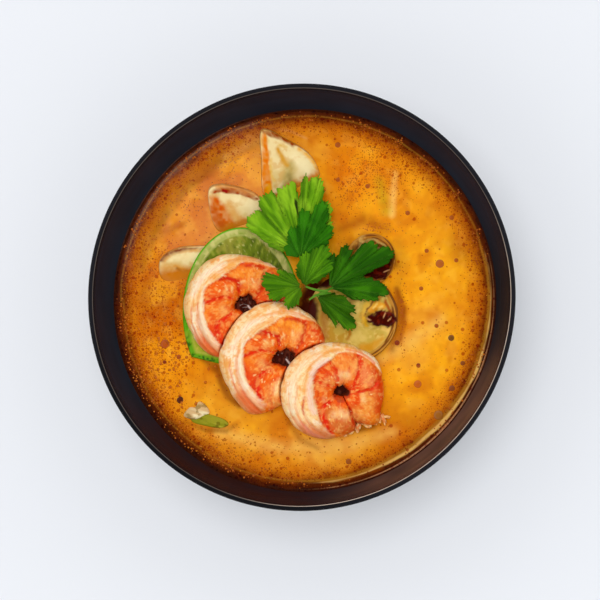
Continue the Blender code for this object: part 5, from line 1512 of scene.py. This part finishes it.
random = np.random.default_rng(7)
SPECK_KINDS = (
    # colour, how many, smallest and largest radius, and where: middle x and y, spread in x and y, or None
    # for all along the wall
    ("a04a0a", 1300, 0.18, 0.5, None),
    ("b45c0c", 1100, 0.2, 0.6, None),
    ("d07614", 800, 0.18, 0.5, (-64, -14, 9, 26)),
    ("c4640e", 260, 0.3, 0.85, (-58, -18, 12, 26)),
    ("c4700e", 320, 0.18, 0.5, (-30, -64, 24, 6)),
    ("c4680c", 520, 0.14, 0.36, (32, 56, 11, 8)),
    ("b8560c", 160, 0.14, 0.34, (20, 46, 4, 5)),
    ("d8881c", 200, 0.14, 0.36, (50, -22, 18, 26)),
    ("b4560c", 90, 0.18, 0.42, (42.6, -6, 0.9, 9)),
    ("c4681a", 80, 0.16, 0.4, (31, 30.5, 5, 1.6)),
    ("c07038", 160, 0.16, 0.34, (-32, 60, 5, 6)),
    ("b8602c", 130, 0.16, 0.34, (-50, 44, 5, 5)),
)
DROPLETS = (
    # x, y, radius, colour
    (-53.2, -43.4, 1.4, "5a2206"), (-60.0, -19.2, 1.9, "b4500c"), (-53.8, -24.8, 1.0, "a8480c"),
    (-60.0, -27, 0.8, "8a3208"), (40.2, -19.2, 1.1, "8a3208"), (58.6, 14.6, 1.8, "b05a14"),
    (53.0, 20.2, 0.9, "a8500f"), (45.0, 36.6, 1.0, "a8500f"), (27.8, 48.4, 1.0, "a8500f"),
    (15.0, 66.6, 1.2, "a8500f"), (15.0, 51.4, 0.9, "a8500f"), (63.8, 34.4, 1.0, "a8500f"),
    (65.6, 16.0, 0.9, "a8500f"), (50.6, 4.0, 0.9, "a8500f"), (63.4, -16.8, 1.0, "a8500f"),
    (57.0, -12.0, 0.9, "a8500f"), (49.2, -29.0, 0.9, "a8500f"), (57.6, -50.0, 2.0, "a0601c"),
    (48.9, -36.8, 1.6, "c05c12"), (57.4, -60.8, 1.4, "8a4410"), (49.2, -28.8, 0.9, "8a3208"),
    (63.2, -17.2, 1.3, "7a4a0e"), (19.4, -69.6, 1.2, "9c5010"), (-53.0, -43.0, 1.2, "4a1e06"),
    (-59.8, -19.0, 1.8, "a0480a"), (68.0, -28.0, 1.0, "8a4410"), (63.4, -38.6, 1.2, "8a4410"),
)


def scattered(name, centres, radii, flatness, subdivisions):
    """Many small flattened balls as one mesh."""
    bm = bmesh.new()
    bmesh.ops.create_icosphere(bm, subdivisions=subdivisions, radius=MM)
    bm.verts.ensure_lookup_table()
    ball = np.array([vert.co for vert in bm.verts]) / MM
    faces = np.array([[vert.index for vert in face.verts] for face in bm.faces])
    bm.free()
    count = len(centres)
    squash = np.array((1, 1, flatness))
    points = centres[:, None, :] + ball[None] * radii[:, None, None] * squash
    corners = faces[None] + (np.arange(count) * len(ball))[:, None, None]
    mesh = bpy.data.meshes.new(name)
    mesh.from_pydata((points.reshape(-1, 3) * MM).tolist(), [], corners.reshape(-1, 3).tolist())
    return mesh, len(ball)


centres, radii, colours = [], [], []
for colour, count, smallest, largest, where in SPECK_KINDS:
    for _ in range(count):
        if where is None:
            out, turn = soup_edge - abs(random.normal(0, 4.2)) - 0.6, random.uniform(0, math.tau)
            x, y = out * math.cos(turn), out * math.sin(turn)
            degrees = math.degrees(turn) - 360 * (turn > math.pi)
            sparse = 0.25 if -85 < degrees < 10 and out > soup_edge - 6 else 0
            if clouds(np.array([(x, y)]), 8, 50)[0] < random.uniform(0.3, 0.6) + sparse:
                continue
        else:
            x, y = random.normal(where[0], where[2]), random.normal(where[1], where[3])
        if math.hypot(x, y) > soup_edge - 0.6:
            continue
        centres.append((x, y, SOUP_LEVEL + 0.02))
        radii.append(smallest + (largest - smallest) * random.uniform() ** 2)
        colours.append(linear(colour))
mesh, each = scattered("chilli_specks", np.array(centres), np.array(radii), 0.5, 1)
painted(mesh, np.repeat(np.array(colours), each, axis=0), np.full(len(colours) * each, 0.6))
finished("chilli_specks", mesh, chilli_oil, "tom_yum_broth")

centres = np.array([(x, y, SOUP_LEVEL + 0.02) for x, y, _, _ in DROPLETS])
radii = np.array([radius for _, _, radius, _ in DROPLETS])
mesh, each = scattered("oil_drops", centres, radii, 0.3, 3)
paint = np.repeat([linear(colour) for *_, colour in DROPLETS], each, axis=0)
painted(mesh, paint, np.ones(len(paint)))
finished("oil_drops", mesh, chilli_oil, "tom_yum_broth")


# --- Table, light and camera -----------------------------------------------------------------------
# A plain pale tabletop in a white room with a dark ceiling, brighter on the left and far side, with one
# broad lamp straight above and one warm softbox to the left of it, seen from above and a little to the
# right.

TABLE_REACH = 3000
bm = bmesh.new()
bmesh.ops.create_circle(bm, cap_ends=True, segments=64, radius=TABLE_REACH * MM)
table_mesh = meshed("table", bm)
pale_laminate, nodes, shader = new_finish(
    "matt_pale_laminate", {"Base Color": (*linear("e4e7ec"), 1), "Roughness": 0.9, "Specular IOR Level": 0.1}
)
table_mesh.materials.append(pale_laminate)
table = bpy.data.objects.new("table", table_mesh)
bpy.context.scene.collection.objects.link(table)

CAMERA_TILT, CAMERA_TURN = math.radians(6.8), math.radians(-45)
CAMERA_DISTANCE = 733
CAMERA_AIM = (0.209, -2.136)  # right and up from the middle of the rim
level_part = math.sin(CAMERA_TILT)
back = Vector((level_part * math.cos(CAMERA_TURN), level_part * math.sin(CAMERA_TURN), math.cos(CAMERA_TILT)))
right = (-back).cross(Vector((0, 1, 0))).normalized()
up = right.cross(-back)
aim = Vector((0, 0, BOWL_HEIGHT)) + right * CAMERA_AIM[0] + up * CAMERA_AIM[1]
camera_data = bpy.data.cameras.new("camera")
camera_data.lens = 105
camera_data.clip_start, camera_data.clip_end = 0.01, 20
camera = bpy.data.objects.new("camera", camera_data)
camera.matrix_world = Matrix(
    [[right[i], up[i], back[i], (aim[i] + back[i] * CAMERA_DISTANCE) * MM] for i in range(3)] + [[0, 0, 0, 1]]
)
bpy.context.scene.collection.objects.link(camera)
bpy.context.scene.camera = camera

# The softbox: part of a round glowing panel, whose reflection lies on the far left of the broth
SOFTBOX_HEIGHT, SOFTBOX_RADIUS, SOFTBOX_MIDDLE = 800, 131, (-62, 62)
SOFTBOX_RIGHT, SOFTBOX_NEAR = -90, 88
bm = bmesh.new()
bmesh.ops.create_circle(bm, cap_ends=True, segments=96, radius=SOFTBOX_RADIUS * MM)
bmesh.ops.translate(bm, verts=bm.verts, vec=Vector((*SOFTBOX_MIDDLE, SOFTBOX_HEIGHT)) * MM)
for place, way in (((SOFTBOX_RIGHT, 0, 0), (1, 0, 0)), ((0, SOFTBOX_NEAR, 0), (0, -1, 0))):
    everything = bm.verts[:] + bm.edges[:] + bm.faces[:]
    bmesh.ops.bisect_plane(bm, geom=everything, plane_co=Vector(place) * MM, plane_no=way, clear_outer=True)
softbox_mesh = meshed("softbox", bm)
softbox_glow = bpy.data.materials.new("softbox_glow")
softbox_glow.use_nodes = True
nodes = softbox_glow.node_tree.nodes
nodes.remove(nodes["Principled BSDF"])
glow = add(nodes, "ShaderNodeEmission", {"Color": (*linear("ffe6da"), 1), "Strength": 4})
link(glow.outputs["Emission"], nodes["Material Output"].inputs["Surface"])
softbox_mesh.materials.append(softbox_glow)
softbox = bpy.data.objects.new("softbox", softbox_mesh)
bpy.context.scene.collection.objects.link(softbox)

sun_data = bpy.data.lights.new("key_light", "SUN")
sun_data.energy = 1.5
sun_data.angle = math.radians(36)
sun = bpy.data.objects.new("key_light", sun_data)
sun.rotation_mode = "QUATERNION"
sun.rotation_quaternion = Vector((-0.04, 0.05, 1)).to_track_quat("Z", "Y")
sun.visible_glossy = False  # or the level broth would mirror it all over
bpy.context.scene.collection.objects.link(sun)

world = bpy.data.worlds.new("daylight")
world.use_nodes = True
nodes = world.node_tree.nodes
way = add(nodes, "ShaderNodeTexCoord", {}).outputs["Generated"]
height = add(nodes, "ShaderNodeSeparateXYZ", {"Vector": way})
overhead = add(
    nodes,
    "ShaderNodeMapRange",
    {"Value": height.outputs["Z"], "From Min": 0.78, "From Max": 0.95, "To Min": 1, "To Max": 0.05},
    interpolation_type="SMOOTHSTEP",
)
window_side = add(nodes, "ShaderNodeVectorMath", {0: way, 1: (-0.7, 0.7, 0)}, operation="DOT_PRODUCT")
falling = add(
    nodes,
    "ShaderNodeMapRange",
    {"Value": window_side.outputs["Value"], "From Min": -1, "From Max": 1, "To Min": 0.94, "To Max": 1.06},
)
strength = add(
    nodes,
    "ShaderNodeMath",
    {0: overhead.outputs["Result"], 1: falling.outputs["Result"]},
    operation="MULTIPLY",
)
nodes["Background"].inputs["Color"].default_value = (*linear("f4f4f5"), 1)
link(strength.outputs["Value"], nodes["Background"].inputs["Strength"])
bpy.context.scene.world = world
bpy.context.scene.view_settings.view_transform = "Standard"
